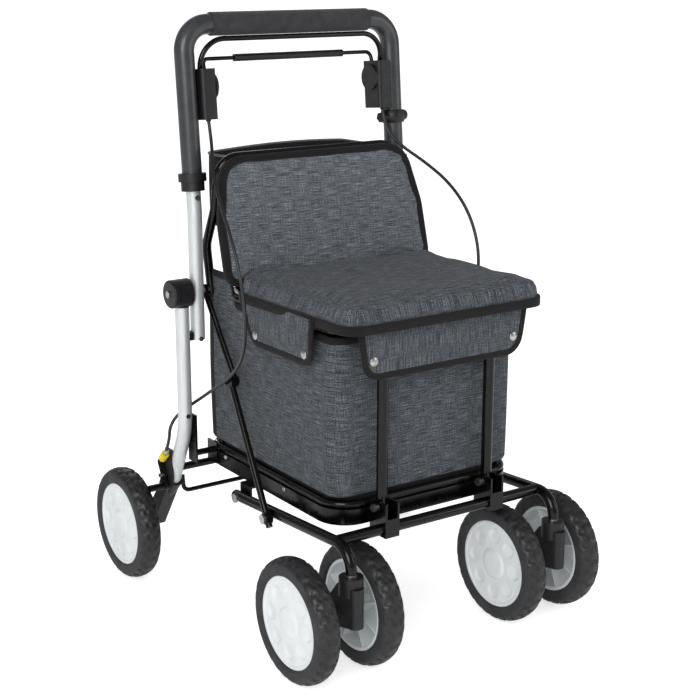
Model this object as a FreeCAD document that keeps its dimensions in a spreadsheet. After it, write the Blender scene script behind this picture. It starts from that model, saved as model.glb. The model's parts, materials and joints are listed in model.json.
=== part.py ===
import FreeCAD, Part
import math
import os
from types import SimpleNamespace

import Sketcher
from FreeCAD import Placement, Rotation, Vector

# Shopping rollator. X runs across it, -Y is the travel direction, +Y the user's side, Z is up.
# The origin is on the floor, midway between the axles.

os.makedirs("parts", exist_ok=True)
doc = FreeCAD.newDocument("ShoppingRollator")
sheet = doc.addObject("Spreadsheet::Sheet", "Sizes")

DRIVING_SIZES = {
    # wheels
    "wheel_radius": 90,
    "tyre_width": 35,
    "tread_shoulder": 10,
    "tread_edge": 2,
    "rim_radius": 66,
    "rim_width": 30,
    "rim_wall": 5,
    "web_thickness": 4,
    "web_inset": 2,
    "hub_radius": 17,
    "hub_cap_rise": 3,
    "recess_radius": 7.5,
    "recess_circle": 49.5,
    "recess_depth": 2.5,
    "axle_radius": 5,
    "running_fit": 0.05,
    "clearance": 0.3,
    "half_wheelbase": 229,
    "rear_track_half": 265,
    # casters
    "caster_inset": 83,
    "caster_trail": 54,
    "caster_wheel_offset": 53,
    "caster_pin_radius": 5,
    "caster_pin_flange": 3,
    "caster_head_radius": 17,
    "caster_head_height": 26,
    "fork_width": 22,
    "fork_front": 22,
    "fork_rear": 17,
    "fork_foot_height": 92,
    "fork_boss_radius": 13,
    "caster_pin_depth": 58,
    # base frame
    "frame_tube_radius": 8,
    "tube_wall": 1.5,
    "rail_rear_ahead": 99.5,
    "rail_rear_z": 184,
    "rail_corner_z": 203,
    "rail_bend": 33,
    "caster_tube_end_z": 166,
    "cross_tube_gap": 27,
    # tray and loop
    "tray_inset": 49,
    "tray_front_back": 10,
    "tray_rear_reach": 27.5,
    "tray_corner": 45,
    "tray_base_z": 203,
    "tray_height": 23,
    "tray_wall": 2,
    "loop_radius": 6,
    # plates and pins
    "plate_thickness": 3,
    "hoop_pivot_gap": 12,
    "hoop_pivot_z": 228,
    "hoop_inset": 69,
    "hoop_height": 257,
    "hoop_bend": 28,
    "hoop_foot": 7,
    "hoop_pin_radius": 3,
    "bracket_wall": 3.4,
    "bracket_slot_gap": 0.6,
    "bracket_front": 11,
    "bracket_rise": 11,
    "bracket_floor": 8,
    "rail_bracket_length": 30,
    "rail_bracket_drop": 27,
    "rail_bracket_flange": 33,
    "leg_pivot_ahead": 106.5,
    "leg_pivot_z": 225,
    "pivot_plate_width": 29,
    "pivot_plate_height": 35,
    "bolt_head_radius": 7,
    "bolt_head_height": 4,
    # legs
    "leg_inset": 53,
    "leg_radius": 11,
    "leg_bend_z": 268,
    "leg_foot_ahead": 61,
    "leg_foot_z": 168,
    "leg_bend": 110,
    "leg_bracket_height": 78,
    "leg_bracket_width": 25,
    "leg_bracket_drop": 13,
    "rear_cross_ahead": 76.5,
    "rear_cross_z": 195,
    "rear_cross_radius": 6,
    "step_rod_radius": 3.5,
    "step_rod_drop": 26,
    "step_rod_ahead": 71,
    "step_rod_z": 152,
    "step_rod_bend": 10,
    "bumper_depth": 15,
    "bumper_height": 13,
    "bumper_z": 408,
    "hub_outer_radius": 21.5,
    "hub_spigot_length": 24,
    "knob_thickness": 10,
    "knob_round": 2.5,
    "hub_bolt_radius": 4,
    "hub_bolt_head_radius": 5.5,
    "hub_bolt_head_height": 2.5,
    "wheel_bracket_width": 22,
    "wheel_bracket_proud": 2,
    "wheel_bracket_boss": 14,
    "wheel_sleeve_length": 58,
    "wheel_sleeve_rise": 9,
    "wheel_sleeve_slant": 45,
    "ear_thickness": 4,
    # brake at the rear wheels
    "brake_pivot_ahead": 61,
    "brake_pivot_z": 182,
    "brake_pin_radius": 3,
    "brake_arm_thickness": 6,
    "brake_shoe_radius": 5.5,
    "brake_shoe_ahead": 64.4,
    "brake_shoe_z": 164.6,
    "brake_shoe_reach": 32,
    "brake_anchor_ahead": 52,
    "brake_anchor_z": 199,
    "brake_arm_radius": 7,
    "adjuster_radius": 6.5,
    "adjuster_length": 15,
    "adjuster_ahead": 73.6,
    "adjuster_z": 220.6,
    "ear_front_ahead": 80,
    "ear_rear_ahead": 61,
    "ear_top_z": 227,
    "cable_radius": 2.5,
    "cable_exit_gap": 1.2,
    "brake_wire_radius": 1,
    "axle_spacer_radius": 8,
    # handle stems and hinge of the upper frame
    "stem_inset": 26,
    "stem_radius": 11,
    "stem_foot_z": 407,
    "stem_bend_z": 600,
    "stem_tilt": 4.8,
    "stem_reach": 212,
    "stem_bend": 120,
    "hinge_z": 482,
    "button_radius": 4,
    "button_height": 24,
    "button_proud": 2,
    "button_length": 7,
    # handle
    "handle_radius": 15,
    "handle_bore_gap": 0.35,
    "handle_rise": 275,
    "handle_bend": 40,
    "collar_start": 34,
    "collar_sleeve_length": 14,
    "collar_flange_length": 12,
    "collar_sleeve_radius": 17.5,
    "collar_flange_radius": 21,
    "grip_radius": 17.5,
    "grip_inset": 45,
    "box_width": 25,
    "box_depth": 44,
    "box_height": 74,
    "box_drop": 64,
    "box_round": 6,
    "box_recess_depth": 22,
    "box_wall": 2,
    "dome_radius": 20,
    "dome_thickness": 4,
    "lever_pin_radius": 2.5,
    "lever_pin_drop": 14,
    "lever_eye_radius": 5.5,
    "bail_radius": 4,
    "bail_inset": 8,
    "bail_rise": 56,
    "bail_forward": 12,
    "bail_bend": 38,
    "parking_radius": 3,
    "parking_inset": 19,
    "parking_rise": 28,
    "parking_back": 8,
    "parking_bend": 9,
    "parking_sleeve_radius": 5.5,
    "parking_sleeve_inset": 54,
    # braces
    "brace_foot_back": 139,
    "brace_foot_z": 186,
    "knee_pin_radius": 3,
    "brace_radius": 5,
    "brace_eye_radius": 9,
    "brace_tail": 14,
    "link_thickness": 3.5,
    "link_width": 12,
    "link_gap": 0.8,
    "link_groove_depth": 1.4,
    "clip_radius": 10,
    "clip_thickness": 10,
    # seat, bag and backrest
    "seat_tube_radius": 7,
    "seat_rear_inset": 41,
    "seat_front_inset": 28,
    "seat_front_back": 63,
    "seat_bend": 35,
    "seat_front_bend": 20,
    "seat_corner_ahead": 45,
    "seat_corner_width": 42,
    "seat_clip_length": 20,
    "seat_clip_inset": 44,
    "back_tube_inset": 26,
    "back_tube_top_ahead": 32,
    "back_tube_top_z": 684,
    "back_tube_knee_reach": 13.5,
    "back_tube_knee_z": 548,
    "back_tube_mid_ahead": 14.5,
    "back_tube_mid_z": 606,
    "back_tube_bend": 30,
    "board_thickness": 4,
    "cushion_front_reach": 31,
    "cushion_rear_ahead": 100.5,
    "cushion_front_inset": 16,
    "cushion_rear_inset": 5,
    "cushion_corner": 26,
    "cushion_base_z": 497,
    "cushion_height": 28,
    "cushion_crown": 3,
    "flap_thickness": 3,
    "front_flap_reach": 17,
    "front_flap_inset": 30,
    "front_flap_drop": 78,
    "side_flap_inset": 8,
    "side_flap_front_back": 76,
    "side_flap_rear_gap": 10,
    "side_flap_drop": 64,
    "flap_corner": 22,
    "bag_inset": 3,
    "bag_front_gap": 7,
    "bag_rear_gap": 3,
    "bag_corner": 22,
    "bag_foot_gap": 1,
    "bag_foot_front_gap": 1,
    "bag_foot_rear_gap": 1,
    "bag_foot_height": 35,
    "bag_foot_corner": 34,
    "bag_top_z": 472,
    "bag_wall": 2,
    "bag_wing_ahead": 38.5,
    "bag_wing_length": 24,
    "bag_wing_top_z": 512,
    "pad_thickness": 12,
    "pad_foot_ahead": 88.5,
    "pad_foot_z": 512,
    "pad_length": 180,
    "pad_tilt": 14.5,
    "pad_foot_inset": 25,
    "pad_top_inset": 42,
    "pad_corner": 42,
    "pocket_inset": 37,
    "pocket_rear_reach": 32.5,
    "pocket_corner": 20,
    "pocket_base_z": 576,
    "pocket_height": 110,
    "pocket_wall": 2,
}

# Places that follow the track, the wheelbase and the handle's height.
FOLLOWING_SIZES = {
    "leg_x": "rear_track_half - leg_inset",
    "stem_x": "leg_x - stem_inset",
    "caster_track_half": "rear_track_half - caster_inset",
    "tray_half_width": "leg_x - tray_inset",
    "hoop_half_width": "tray_half_width - hoop_inset",
    "seat_rear_x": "stem_x - seat_rear_inset",
    "seat_front_x": "stem_x - seat_front_inset",
    "back_tube_x": "stem_x - back_tube_inset",
    "grip_half_length": "stem_x - grip_inset",
    "bail_half_width": "stem_x - handle_radius - bail_inset",
    "parking_half_width": "stem_x - handle_radius - parking_inset",
    "parking_sleeve_half": "parking_half_width - parking_sleeve_inset",
    "cushion_front_half": "stem_x - cushion_front_inset",
    "cushion_rear_half": "stem_x - cushion_rear_inset",
    "front_flap_half": "cushion_front_half - front_flap_inset",
    "side_flap_x": "stem_x - side_flap_inset",
    "bag_half_width": "tray_half_width - bag_inset",
    "bag_foot_half_width": "tray_half_width - 2 * loop_radius - bag_foot_gap",
    "pad_foot_half": "leg_x - pad_foot_inset",
    "pad_top_half": "leg_x - pad_top_inset",
    "pocket_half_width": "stem_x - pocket_inset",
    "seat_clip_x": "hoop_half_width - seat_clip_inset",
    "leg_pivot_y": "half_wheelbase - leg_pivot_ahead",
    "leg_foot_y": "half_wheelbase - leg_foot_ahead",
    "rear_cross_y": "half_wheelbase - rear_cross_ahead",
    "step_rod_y": "half_wheelbase - step_rod_ahead",
    "brake_pivot_y": "half_wheelbase - brake_pivot_ahead",
    "brake_shoe_y": "half_wheelbase - brake_shoe_ahead",
    "brake_anchor_y": "half_wheelbase - brake_anchor_ahead",
    "adjuster_y": "half_wheelbase - adjuster_ahead",
    "ear_front_y": "half_wheelbase - ear_front_ahead",
    "ear_rear_y": "half_wheelbase - ear_rear_ahead",
    "tray_rear": "leg_pivot_y + tray_rear_reach",
    "bag_rear": "tray_rear - bag_rear_gap",
    "bag_foot_rear": "tray_rear - 2 * loop_radius - bag_foot_rear_gap",
    "rail_rear_y": "leg_pivot_y - rail_rear_ahead",
    "bag_wing_front": "leg_pivot_y - bag_wing_ahead",
    "bag_wing_rear": "bag_wing_front + bag_wing_length",
    "pad_foot_y": "leg_pivot_y - pad_foot_ahead",
    "back_tube_top_y": "leg_pivot_y - back_tube_top_ahead",
    "back_tube_knee_y": "leg_pivot_y + back_tube_knee_reach",
    "back_tube_mid_y": "leg_pivot_y - back_tube_mid_ahead",
    "pocket_rear": "leg_pivot_y + pocket_rear_reach",
    "cushion_rear": "leg_pivot_y - cushion_rear_ahead",
    "side_flap_rear": "cushion_rear - side_flap_rear_gap",
    "tray_front": "half_wheelbase - tray_front_back",
    "hoop_pivot_y": "tray_front + hoop_pivot_gap",
    "cross_tube_y": "tray_front + cross_tube_gap",
    "brace_foot_y": "half_wheelbase - brace_foot_back",
    "seat_front_y": "hoop_pivot_y - seat_front_back",
    "cushion_front": "hoop_pivot_y + cushion_front_reach",
    "front_flap_y": "hoop_pivot_y + front_flap_reach",
    "side_flap_front": "cushion_front - side_flap_front_back",
    "bag_front": "tray_front - bag_front_gap",
    "bag_foot_front": "tray_front - 2 * loop_radius - bag_foot_front_gap",
    "box_top_rise": "handle_rise - box_drop",
}

ROWS = [*DRIVING_SIZES.items(), *((alias, f"={formula}") for alias, formula in FOLLOWING_SIZES.items())]
for row, (alias, content) in enumerate(ROWS, start=1):
    sheet.set(f"A{row}", alias)
    sheet.set(f"B{row}", str(content))
    sheet.setAlias(f"B{row}", alias)
doc.recompute()
z = SimpleNamespace(**{alias: float(sheet.get(alias)) for alias, content in ROWS})
parts = []
run_share = 0.45
SIDES = (("left", -1), ("right", 1))


def keep(piece, label):
    """Gives a finished sub-part its name and keeps it for the export."""
    piece.Label = label
    parts.append(piece)
    return piece


def solid(name, shape):
    """A piece whose shape comes from a path or from sections."""
    piece = doc.addObject("Part::Feature", name)
    piece.Shape = shape
    return piece


def turned(direction):
    """The rotation that takes +Z to the direction."""
    return Rotation(Vector(0, 0, 1), direction)


def set_size(piece, side, size):
    """Binds one side of a piece to the sheet, or sets it from sizes worked out here."""
    if isinstance(size, str):
        piece.setExpression(side, size)
    else:
        setattr(piece, side, size)


def rod(name, radius, length, start, direction):
    """A round bar."""
    bar = doc.addObject("Part::Cylinder", name)
    set_size(bar, "Radius", radius)
    set_size(bar, "Height", length)
    bar.Placement = Placement(start, turned(direction))
    return bar


def block(name, sizes, corner, rotation=None):
    """A box set at its lowest corner."""
    box = doc.addObject("Part::Box", name)
    for side, size in zip(("Length", "Width", "Height"), sizes):
        set_size(box, side, size)
    box.Placement = Placement(corner, rotation or Rotation())
    return box


def cut(name, base, *tools):
    """The base with every tool taken out of it."""
    result = base
    for count, tool in enumerate(tools):
        step = doc.addObject("Part::Cut", f"{name}_{count}")
        step.Base = result
        step.Tool = tool
        result = step
    return result


def fuse(name, *shapes):
    """One solid out of several that meet."""
    joined = doc.addObject("Part::MultiFuse", name)
    joined.Shapes = list(shapes)
    joined.Refine = True
    return joined


def group(name, *shapes):
    """Like pieces on both sides, kept as separate solids in one sub-part."""
    together = doc.addObject("Part::Compound", name)
    together.Links = list(shapes)
    return together


def bends(points, radius, closed=False):
    """Straight runs through the points, joined by tangent arcs of one radius or one each."""
    count = len(points)
    corners = range(count) if closed else range(1, count - 1)
    radii = radius if isinstance(radius, (list, tuple)) else [radius] * len(corners)
    arcs = []
    for corner, bend in zip(corners, radii):
        here = points[corner]
        into = (here - points[corner - 1]).normalize()
        out = (points[(corner + 1) % count] - here).normalize()
        half = into.getAngle(out) / 2
        reach = bend * math.tan(half)
        inward = (out - into).normalize()
        middle = here + inward * (bend / math.cos(half) - bend)
        arcs.append((here - into * reach, middle, here + out * reach))
    edges = []
    last = arcs[-1][2] if closed else points[0]
    for first, middle, end in arcs:
        if (first - last).Length > z.running_fit:
            edges.append(Part.LineSegment(last, first).toShape())
        edges.append(Part.Arc(first, middle, end).toShape())
        last = end
    if not closed:
        edges.append(Part.LineSegment(last, points[-1]).toShape())
    return Part.Wire(edges)


def along(path, radius):
    """A solid round bar along a path."""
    start = path.Edges[0]
    heading = start.tangentAt(start.FirstParameter)
    place = start.valueAt(start.FirstParameter)
    section = Part.Wire([Part.Circle(place, heading, radius).toShape()])
    return path.makePipeShell([section], True, False)


def tube(path, radius, wall):
    """A hollow tube along a path."""
    return along(path, radius).cut(along(path, radius - wall))


def sketch_on(body, name, role, pieces):
    """A closed sketch on one of the body's own planes."""
    sketch = body.newObject("Sketcher::SketchObject", name)
    plane = [feature for feature in body.Origin.OriginFeatures if feature.Role == role][0]
    sketch.AttachmentSupport = [(plane, "")]
    sketch.MapMode = "FlatFace"
    sketch.addGeometry(pieces, False)
    for index in range(len(pieces)):
        following = (index + 1) % len(pieces)
        if len(pieces) > 1:
            sketch.addConstraint(Sketcher.Constraint("Coincident", index, 2, following, 1))
    return sketch


def chain(points):
    """Line segments and arcs through flat points; a pair of points is an arc's middle and end."""
    pieces = []
    last = points[0]
    for item in points[1:] + [points[0]]:
        if isinstance(item[0], tuple):
            middle, end = item
            pieces.append(Part.Arc(Vector(*last, 0), Vector(*middle, 0), Vector(*end, 0)))
            last = end
        elif item != last:
            pieces.append(Part.LineSegment(Vector(*last, 0), Vector(*item, 0)))
            last = item
    return pieces


def profile_plate(name, points, thickness, place):
    """A flat piece drawn in local X and Y, padded both ways along its own Z."""
    body = doc.addObject("PartDesign::Body", name)
    sketch = sketch_on(body, f"{name}_outline", "XY_Plane", chain(points))
    pad = body.newObject("PartDesign::Pad", f"{name}_pad")
    pad.Profile = sketch
    pad.setExpression("Length", thickness)
    pad.Midplane = True
    body.Placement = place
    return body


def upright_place(x):
    """Local X, Y and Z become the rollator's Y, Z and X."""
    return Placement(Vector(x, 0, 0), Rotation(Vector(0, 1, 0), Vector(0, 0, 1), Vector(1, 0, 0), "ZXY"))


def plan_points(front_half, rear_half, front, rear, height):
    """Corners of a plan outline, the front edge at -Y."""
    return [
        Vector(-front_half, -front, height),
        Vector(front_half, -front, height),
        Vector(rear_half, rear, height),
        Vector(-rear_half, rear, height),
    ]


def slab(half_width, front, rear, corner, base, height):
    """A rounded flat block in plan."""
    outline = bends(plan_points(half_width, half_width, front, rear, base), corner, True)
    return Part.Face(outline).extrude(Vector(0, 0, height))


# Wheels: a rubber tyre on a moulded rim with a closed outer web, eight recesses and a raised cap.
tread_edge_share = 0.32
hub_length_share = 0.9
rib_count = 8


def make_wheel(name, centre, face, body_names):
    """A tyre and its rim; face is the side of the outer web."""
    half = z.tyre_width / 2
    shoulder = z.wheel_radius - z.tread_shoulder
    edge = z.tyre_width * tread_edge_share
    place = Placement(centre, Rotation(Vector(0, 0, 1), 0 if face > 0 else 180))
    tyre = doc.addObject("PartDesign::Body", f"tyre_{name}")
    outline = chain([
        (-half, z.rim_radius),
        (half, z.rim_radius),
        (half, shoulder),
        (edge, z.wheel_radius - z.tread_edge),
        ((0.0, z.wheel_radius), (-edge, z.wheel_radius - z.tread_edge)),
        (-half, shoulder),
    ])
    section = sketch_on(tyre, f"tyre_section_{name}", "XY_Plane", outline)
    ring = tyre.newObject("PartDesign::Revolution", f"tyre_ring_{name}")
    ring.Profile = section
    ring.ReferenceAxis = (section, ["H_Axis"])
    tyre.Placement = place
    keep(tyre, body_names[0])

    rim = doc.addObject("PartDesign::Body", f"rim_{name}")
    out = z.rim_width / 2
    web = out - z.web_inset
    bore = z.axle_radius + z.running_fit
    hub = z.hub_radius
    cap = web + z.hub_cap_rise
    blind = web - z.web_thickness
    inner = out * hub_length_share
    outline = chain([
        (blind, 0.0),
        (cap, 0.0),
        (cap, hub),
        (web, hub + z.hub_cap_rise),
        (web, z.rim_radius - z.rim_wall),
        (out, z.rim_radius - z.rim_wall),
        (out, z.rim_radius),
        (-out, z.rim_radius),
        (-out, z.rim_radius - z.rim_wall),
        (blind, z.rim_radius - z.rim_wall),
        (blind, hub),
        (-inner, hub),
        (-inner, bore),
        (blind, bore),
    ])
    section = sketch_on(rim, f"rim_section_{name}", "XY_Plane", outline)
    turn = rim.newObject("PartDesign::Revolution", f"rim_turn_{name}")
    turn.Profile = section
    turn.ReferenceAxis = (section, ["H_Axis"])
    doc.recompute()
    recess = rim.newObject("Sketcher::SketchObject", f"recess_outline_{name}")
    plane = [feature for feature in rim.Origin.OriginFeatures if feature.Role == "YZ_Plane"][0]
    recess.AttachmentSupport = [(plane, "")]
    recess.MapMode = "FlatFace"
    recess.AttachmentOffset = Placement(Vector(0, 0, web), Rotation())
    reach = z.recess_radius
    slot = chain([
        (-reach, z.recess_circle - reach),
        ((0.0, z.recess_circle - 2 * reach), (reach, z.recess_circle - reach)),
        (reach, z.recess_circle + reach / 2),
        ((0.0, z.recess_circle + 3 * reach / 2), (-reach, z.recess_circle + reach / 2)),
    ])
    recess.addGeometry(slot, False)
    pocket = rim.newObject("PartDesign::Pocket", f"recess_{name}")
    pocket.Profile = recess
    pocket.setExpression("Length", "Sizes.recess_depth")
    ring = rim.newObject("PartDesign::PolarPattern", f"recess_ring_{name}")
    ring.Originals = [pocket]
    axis = [feature for feature in rim.Origin.OriginFeatures if feature.Role == "X_Axis"][0]
    ring.Axis = (axis, [""])
    ring.Angle = 360
    ring.Occurrences = rib_count
    rim.Tip = ring
    rim.Placement = place
    keep(rim, body_names[1])


axle_z = z.wheel_radius
stem_y = -z.half_wheelbase - z.caster_trail
for side, sign in SIDES:
    rear_centre = Vector(sign * z.rear_track_half, z.half_wheelbase, axle_z)
    make_wheel(f"rear_{side}", rear_centre, sign, (f"rear_tyre_{side}", f"rear_rim_{side}"))
    for place, outward in (("outer", sign), ("inner", -sign)):
        x = sign * z.caster_track_half + outward * z.caster_wheel_offset
        centre = Vector(x, -z.half_wheelbase, axle_z)
        names = (f"caster_tyre_{side}_{place}", f"caster_rim_{side}_{place}")
        make_wheel(f"caster_{side}_{place}", centre, outward, names)

# Caster forks: a round head over a plate that sweeps back to the axle.
fork_top = z.caster_tube_end_z - z.caster_pin_flange - z.clearance
slant_share = math.sqrt(0.5)
blind_depth = z.rim_width / 2 - z.web_inset - z.web_thickness
hub_inner = z.rim_width / 2 * hub_length_share
for side, sign in SIDES:
    x = sign * z.caster_track_half
    foot = z.fork_foot_height
    neck = fork_top - z.caster_head_height / 2
    boss = z.fork_boss_radius
    back = stem_y + z.caster_trail
    nose = z.fork_width / 2
    outline = [
        (stem_y - z.fork_front + nose, neck),
        (stem_y - z.fork_front + nose, foot),
        (back, axle_z - boss),
        ((back + boss, axle_z), (back, axle_z + boss)),
        (stem_y + z.fork_rear, neck),
    ]
    plate = profile_plate(f"fork_plate_{side}", outline, "Sizes.fork_width", upright_place(x))
    head_start = Vector(x, stem_y, fork_top - z.caster_head_height)
    head = rod(f"fork_head_{side}", "Sizes.caster_head_radius", "Sizes.caster_head_height", head_start, Vector(0, 0, 1))
    front = rod(f"fork_nose_{side}", nose, neck - foot, Vector(x, stem_y - z.fork_front + nose, foot), Vector(0, 0, 1))
    whole = fuse(f"fork_{side}", plate, front, head)
    pin_start = Vector(x, stem_y, fork_top - z.caster_pin_depth)
    pin_space = rod(f"fork_bore_{side}", "Sizes.caster_pin_radius + Sizes.running_fit",
                    "Sizes.caster_pin_depth * 2", pin_start, Vector(0, 0, 1))
    axle_space = rod(f"fork_eye_{side}", "Sizes.axle_radius", "Sizes.fork_width * 2",
                     Vector(x - z.fork_width, back, axle_z), Vector(1, 0, 0))
    fork = cut(f"fork_cut_{side}", whole, pin_space, axle_space)
    reach = z.caster_wheel_offset + blind_depth - z.clearance
    shaft = rod(f"caster_shaft_{side}", "Sizes.axle_radius", 2 * reach, Vector(x - reach, back, axle_z),
                Vector(1, 0, 0))
    stop = z.caster_wheel_offset - hub_inner - z.clearance
    spacers = []
    for outward in (-1, 1):
        spacers.append(rod(f"caster_spacer_{side}_{outward + 1}", "Sizes.axle_spacer_radius",
                           stop - z.fork_width / 2, Vector(x + outward * z.fork_width / 2, back, axle_z),
                           Vector(outward, 0, 0)))
    axle = fuse(f"caster_axle_{side}", shaft, *spacers)
    keep(group(f"fork_and_axle_{side}", fork, axle), f"caster_fork_{side}")

# Base frame: two side rails, each bent down over its caster, and the cross tube between them.
rail_slope = (z.rail_corner_z - z.rail_rear_z) / (stem_y - z.rail_rear_y)
cross_z = z.rail_rear_z + rail_slope * (-z.cross_tube_y - z.rail_rear_y)


def rail_height(y):
    """Height of the rail's axis at a place along it."""
    return z.rail_rear_z + rail_slope * (y - z.rail_rear_y)


rails = []
rail_skins = []
for side, sign in SIDES:
    x = sign * z.caster_track_half
    path = bends([
        Vector(x, z.rail_rear_y, z.rail_rear_z),
        Vector(x, stem_y, z.rail_corner_z),
        Vector(x, stem_y, z.caster_tube_end_z),
    ], z.rail_bend)
    rail_skins.append(solid(f"rail_skin_{side}", along(path, z.frame_tube_radius)))
    rails.append(solid(f"rail_{side}", tube(path, z.frame_tube_radius, z.tube_wall)))
keep(group("rail_pair", *rails), "side_rails")
cross_bar = rod("cross_bar", "Sizes.frame_tube_radius", "2 * Sizes.caster_track_half",
                Vector(-z.caster_track_half, -z.cross_tube_y, cross_z), Vector(1, 0, 0))
keep(cut("cross_tube", cross_bar, *rail_skins), "front_cross_tube")

pins = []
for side, sign in SIDES:
    x = sign * z.caster_track_half
    shaft = rod(f"caster_pin_shaft_{side}", "Sizes.caster_pin_radius", "Sizes.caster_pin_depth - Sizes.clearance",
                Vector(x, stem_y, z.caster_tube_end_z - z.caster_pin_depth), Vector(0, 0, 1))
    flange = rod(f"caster_pin_head_{side}", "Sizes.frame_tube_radius", "Sizes.caster_pin_flange",
                 Vector(x, stem_y, z.caster_tube_end_z - z.caster_pin_flange), Vector(0, 0, 1))
    pins.append(fuse(f"caster_pin_{side}", shaft, flange))

# Tray of sheet steel, with the tube loop that the bag stands in lying on its rim.
outer = solid("tray_outer", slab(z.tray_half_width, z.tray_front, z.tray_rear, z.tray_corner, z.tray_base_z,
                                 z.tray_height))
inner = solid("tray_inner", slab(z.tray_half_width - z.tray_wall, z.tray_front - z.tray_wall,
                                 z.tray_rear - z.tray_wall, z.tray_corner - z.tray_wall,
                                 z.tray_base_z + z.tray_wall, z.tray_height))
keep(cut("tray", outer, inner), "bag_tray")
loop_z = z.tray_base_z + z.tray_height + z.loop_radius
loop_half = z.tray_half_width - z.loop_radius
loop_path = bends(plan_points(loop_half, loop_half, z.tray_front - z.loop_radius, z.tray_rear - z.loop_radius, loop_z),
                  z.tray_corner - z.loop_radius, True)
keep(solid("loop", along(loop_path, z.loop_radius)), "tray_loop")

# Brackets: a forked foot for each upright on the cross tube, and an angle from each rail's end to the tray.
feet = []
slot_half = z.frame_tube_radius + z.bracket_slot_gap
foot_half = slot_half + z.bracket_wall
foot_front = z.cross_tube_y + z.bracket_front
foot_base = cross_z - z.frame_tube_radius - z.plate_thickness
foot_top = z.hoop_pivot_z + z.bracket_rise
for side, sign in SIDES:
    x = sign * z.hoop_half_width
    shell = block(f"foot_shell_{side}", (2 * foot_half, foot_front - z.tray_front, foot_top - foot_base),
                  Vector(x - foot_half, -foot_front, foot_base))
    slot_base = foot_base + z.plate_thickness + 2 * z.frame_tube_radius + z.bracket_floor
    slot = block(f"foot_slot_{side}", (2 * slot_half, "2 * Sizes.cross_tube_y", "Sizes.hoop_height"),
                 Vector(x - slot_half, -2 * z.cross_tube_y, slot_base))
    tube_space = rod(f"foot_tube_{side}", "Sizes.frame_tube_radius", "4 * Sizes.frame_tube_radius",
                     Vector(x - 2 * z.frame_tube_radius, -z.cross_tube_y, cross_z), Vector(1, 0, 0))
    pin_space = rod(f"foot_eye_{side}", "Sizes.hoop_pin_radius", "4 * Sizes.frame_tube_radius",
                    Vector(x - 2 * z.frame_tube_radius, -z.hoop_pivot_y, z.hoop_pivot_z), Vector(1, 0, 0))
    feet.append(cut(f"foot_{side}", shell, slot, tube_space, pin_space))

hoop_pins = []
for side, sign in SIDES:
    x = sign * z.hoop_half_width
    shaft = rod(f"hoop_pin_shaft_{side}", "Sizes.hoop_pin_radius", 2 * foot_half,
                Vector(x - foot_half, -z.hoop_pivot_y, z.hoop_pivot_z), Vector(1, 0, 0))
    head = rod(f"hoop_pin_head_{side}", "2 * Sizes.hoop_pin_radius", "Sizes.bolt_head_height",
               Vector(x - foot_half - z.bolt_head_height, -z.hoop_pivot_y, z.hoop_pivot_z), Vector(1, 0, 0))
    hoop_pins.append(fuse(f"hoop_pin_{side}", shaft, head))

angles = []
for side, sign in SIDES:
    rail_inside = z.caster_track_half - z.frame_tube_radius
    tab_low = -rail_inside if sign < 0 else rail_inside - z.plate_thickness
    flange_low = -rail_inside if sign < 0 else rail_inside - z.rail_bracket_flange
    rear = z.rail_rear_y - z.rail_bracket_length
    tab = block(f"rail_tab_{side}", ("Sizes.plate_thickness", "Sizes.rail_bracket_length", "Sizes.rail_bracket_drop"),
                Vector(tab_low, rear, z.tray_base_z - z.rail_bracket_drop))
    flange = block(f"rail_flange_{side}", ("Sizes.rail_bracket_flange", "Sizes.rail_bracket_length",
                                           "Sizes.plate_thickness"),
                   Vector(flange_low, rear, z.tray_base_z - z.plate_thickness))
    angles.append(fuse(f"rail_angle_{side}", tab, flange))

# Rail bolts: the braces turn on the front pair, the rear pair holds the angles.
brace_foot_x = z.caster_track_half + z.frame_tube_radius + z.link_gap + z.brace_radius
bolts = []
for side, sign in SIDES:
    outward = Vector(sign, 0, 0)
    rail_face = sign * (z.caster_track_half + z.frame_tube_radius)
    pivot = Vector(rail_face, -z.brace_foot_y, z.brace_foot_z)
    head_x = brace_foot_x + z.brace_radius + z.link_gap
    shaft = rod(f"brace_bolt_shaft_{side}", "Sizes.hub_bolt_radius", head_x - abs(rail_face), pivot, outward)
    head_place = Vector(sign * head_x, -z.brace_foot_y, z.brace_foot_z)
    head = rod(f"brace_bolt_head_{side}", "Sizes.bolt_head_radius", "Sizes.bolt_head_height", head_place, outward)
    rear_bolt = rod(f"rail_bolt_{side}", "Sizes.bolt_head_radius", "Sizes.bolt_head_height",
                    Vector(rail_face, z.rail_rear_y - z.rail_bracket_length / 2,
                           rail_height(z.rail_rear_y - z.rail_bracket_length / 2)), outward)
    bolts.append(fuse(f"brace_bolt_{side}", shaft, head))
    bolts.append(rear_bolt)
keep(group("fasteners", *pins, *hoop_pins, *bolts), "frame_fasteners")

# Pivot of the rear legs: a plate on the tray's side with a pin out to the leg's bracket.
pivots = []
leg_inside = z.leg_x - z.leg_radius
bracket_inside = leg_inside - z.plate_thickness
for side, sign in SIDES:
    low = sign * (z.tray_half_width + z.plate_thickness) if sign < 0 else z.tray_half_width
    plate = block(f"pivot_plate_{side}", ("Sizes.plate_thickness", "Sizes.pivot_plate_width",
                                          "Sizes.pivot_plate_height"),
                  Vector(low, z.leg_pivot_y - z.pivot_plate_width / 2, z.tray_base_z + z.tray_wall))
    pin = rod(f"pivot_pin_{side}", "Sizes.axle_radius",
              "Sizes.leg_x - Sizes.leg_radius - Sizes.tray_half_width - Sizes.clearance",
              Vector(sign * z.tray_half_width, z.leg_pivot_y, z.leg_pivot_z), Vector(sign, 0, 0))
    pivots.append(fuse(f"pivot_{side}", plate, pin))
keep(group("brackets", *feet, *angles, *pivots), "frame_brackets")

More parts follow.
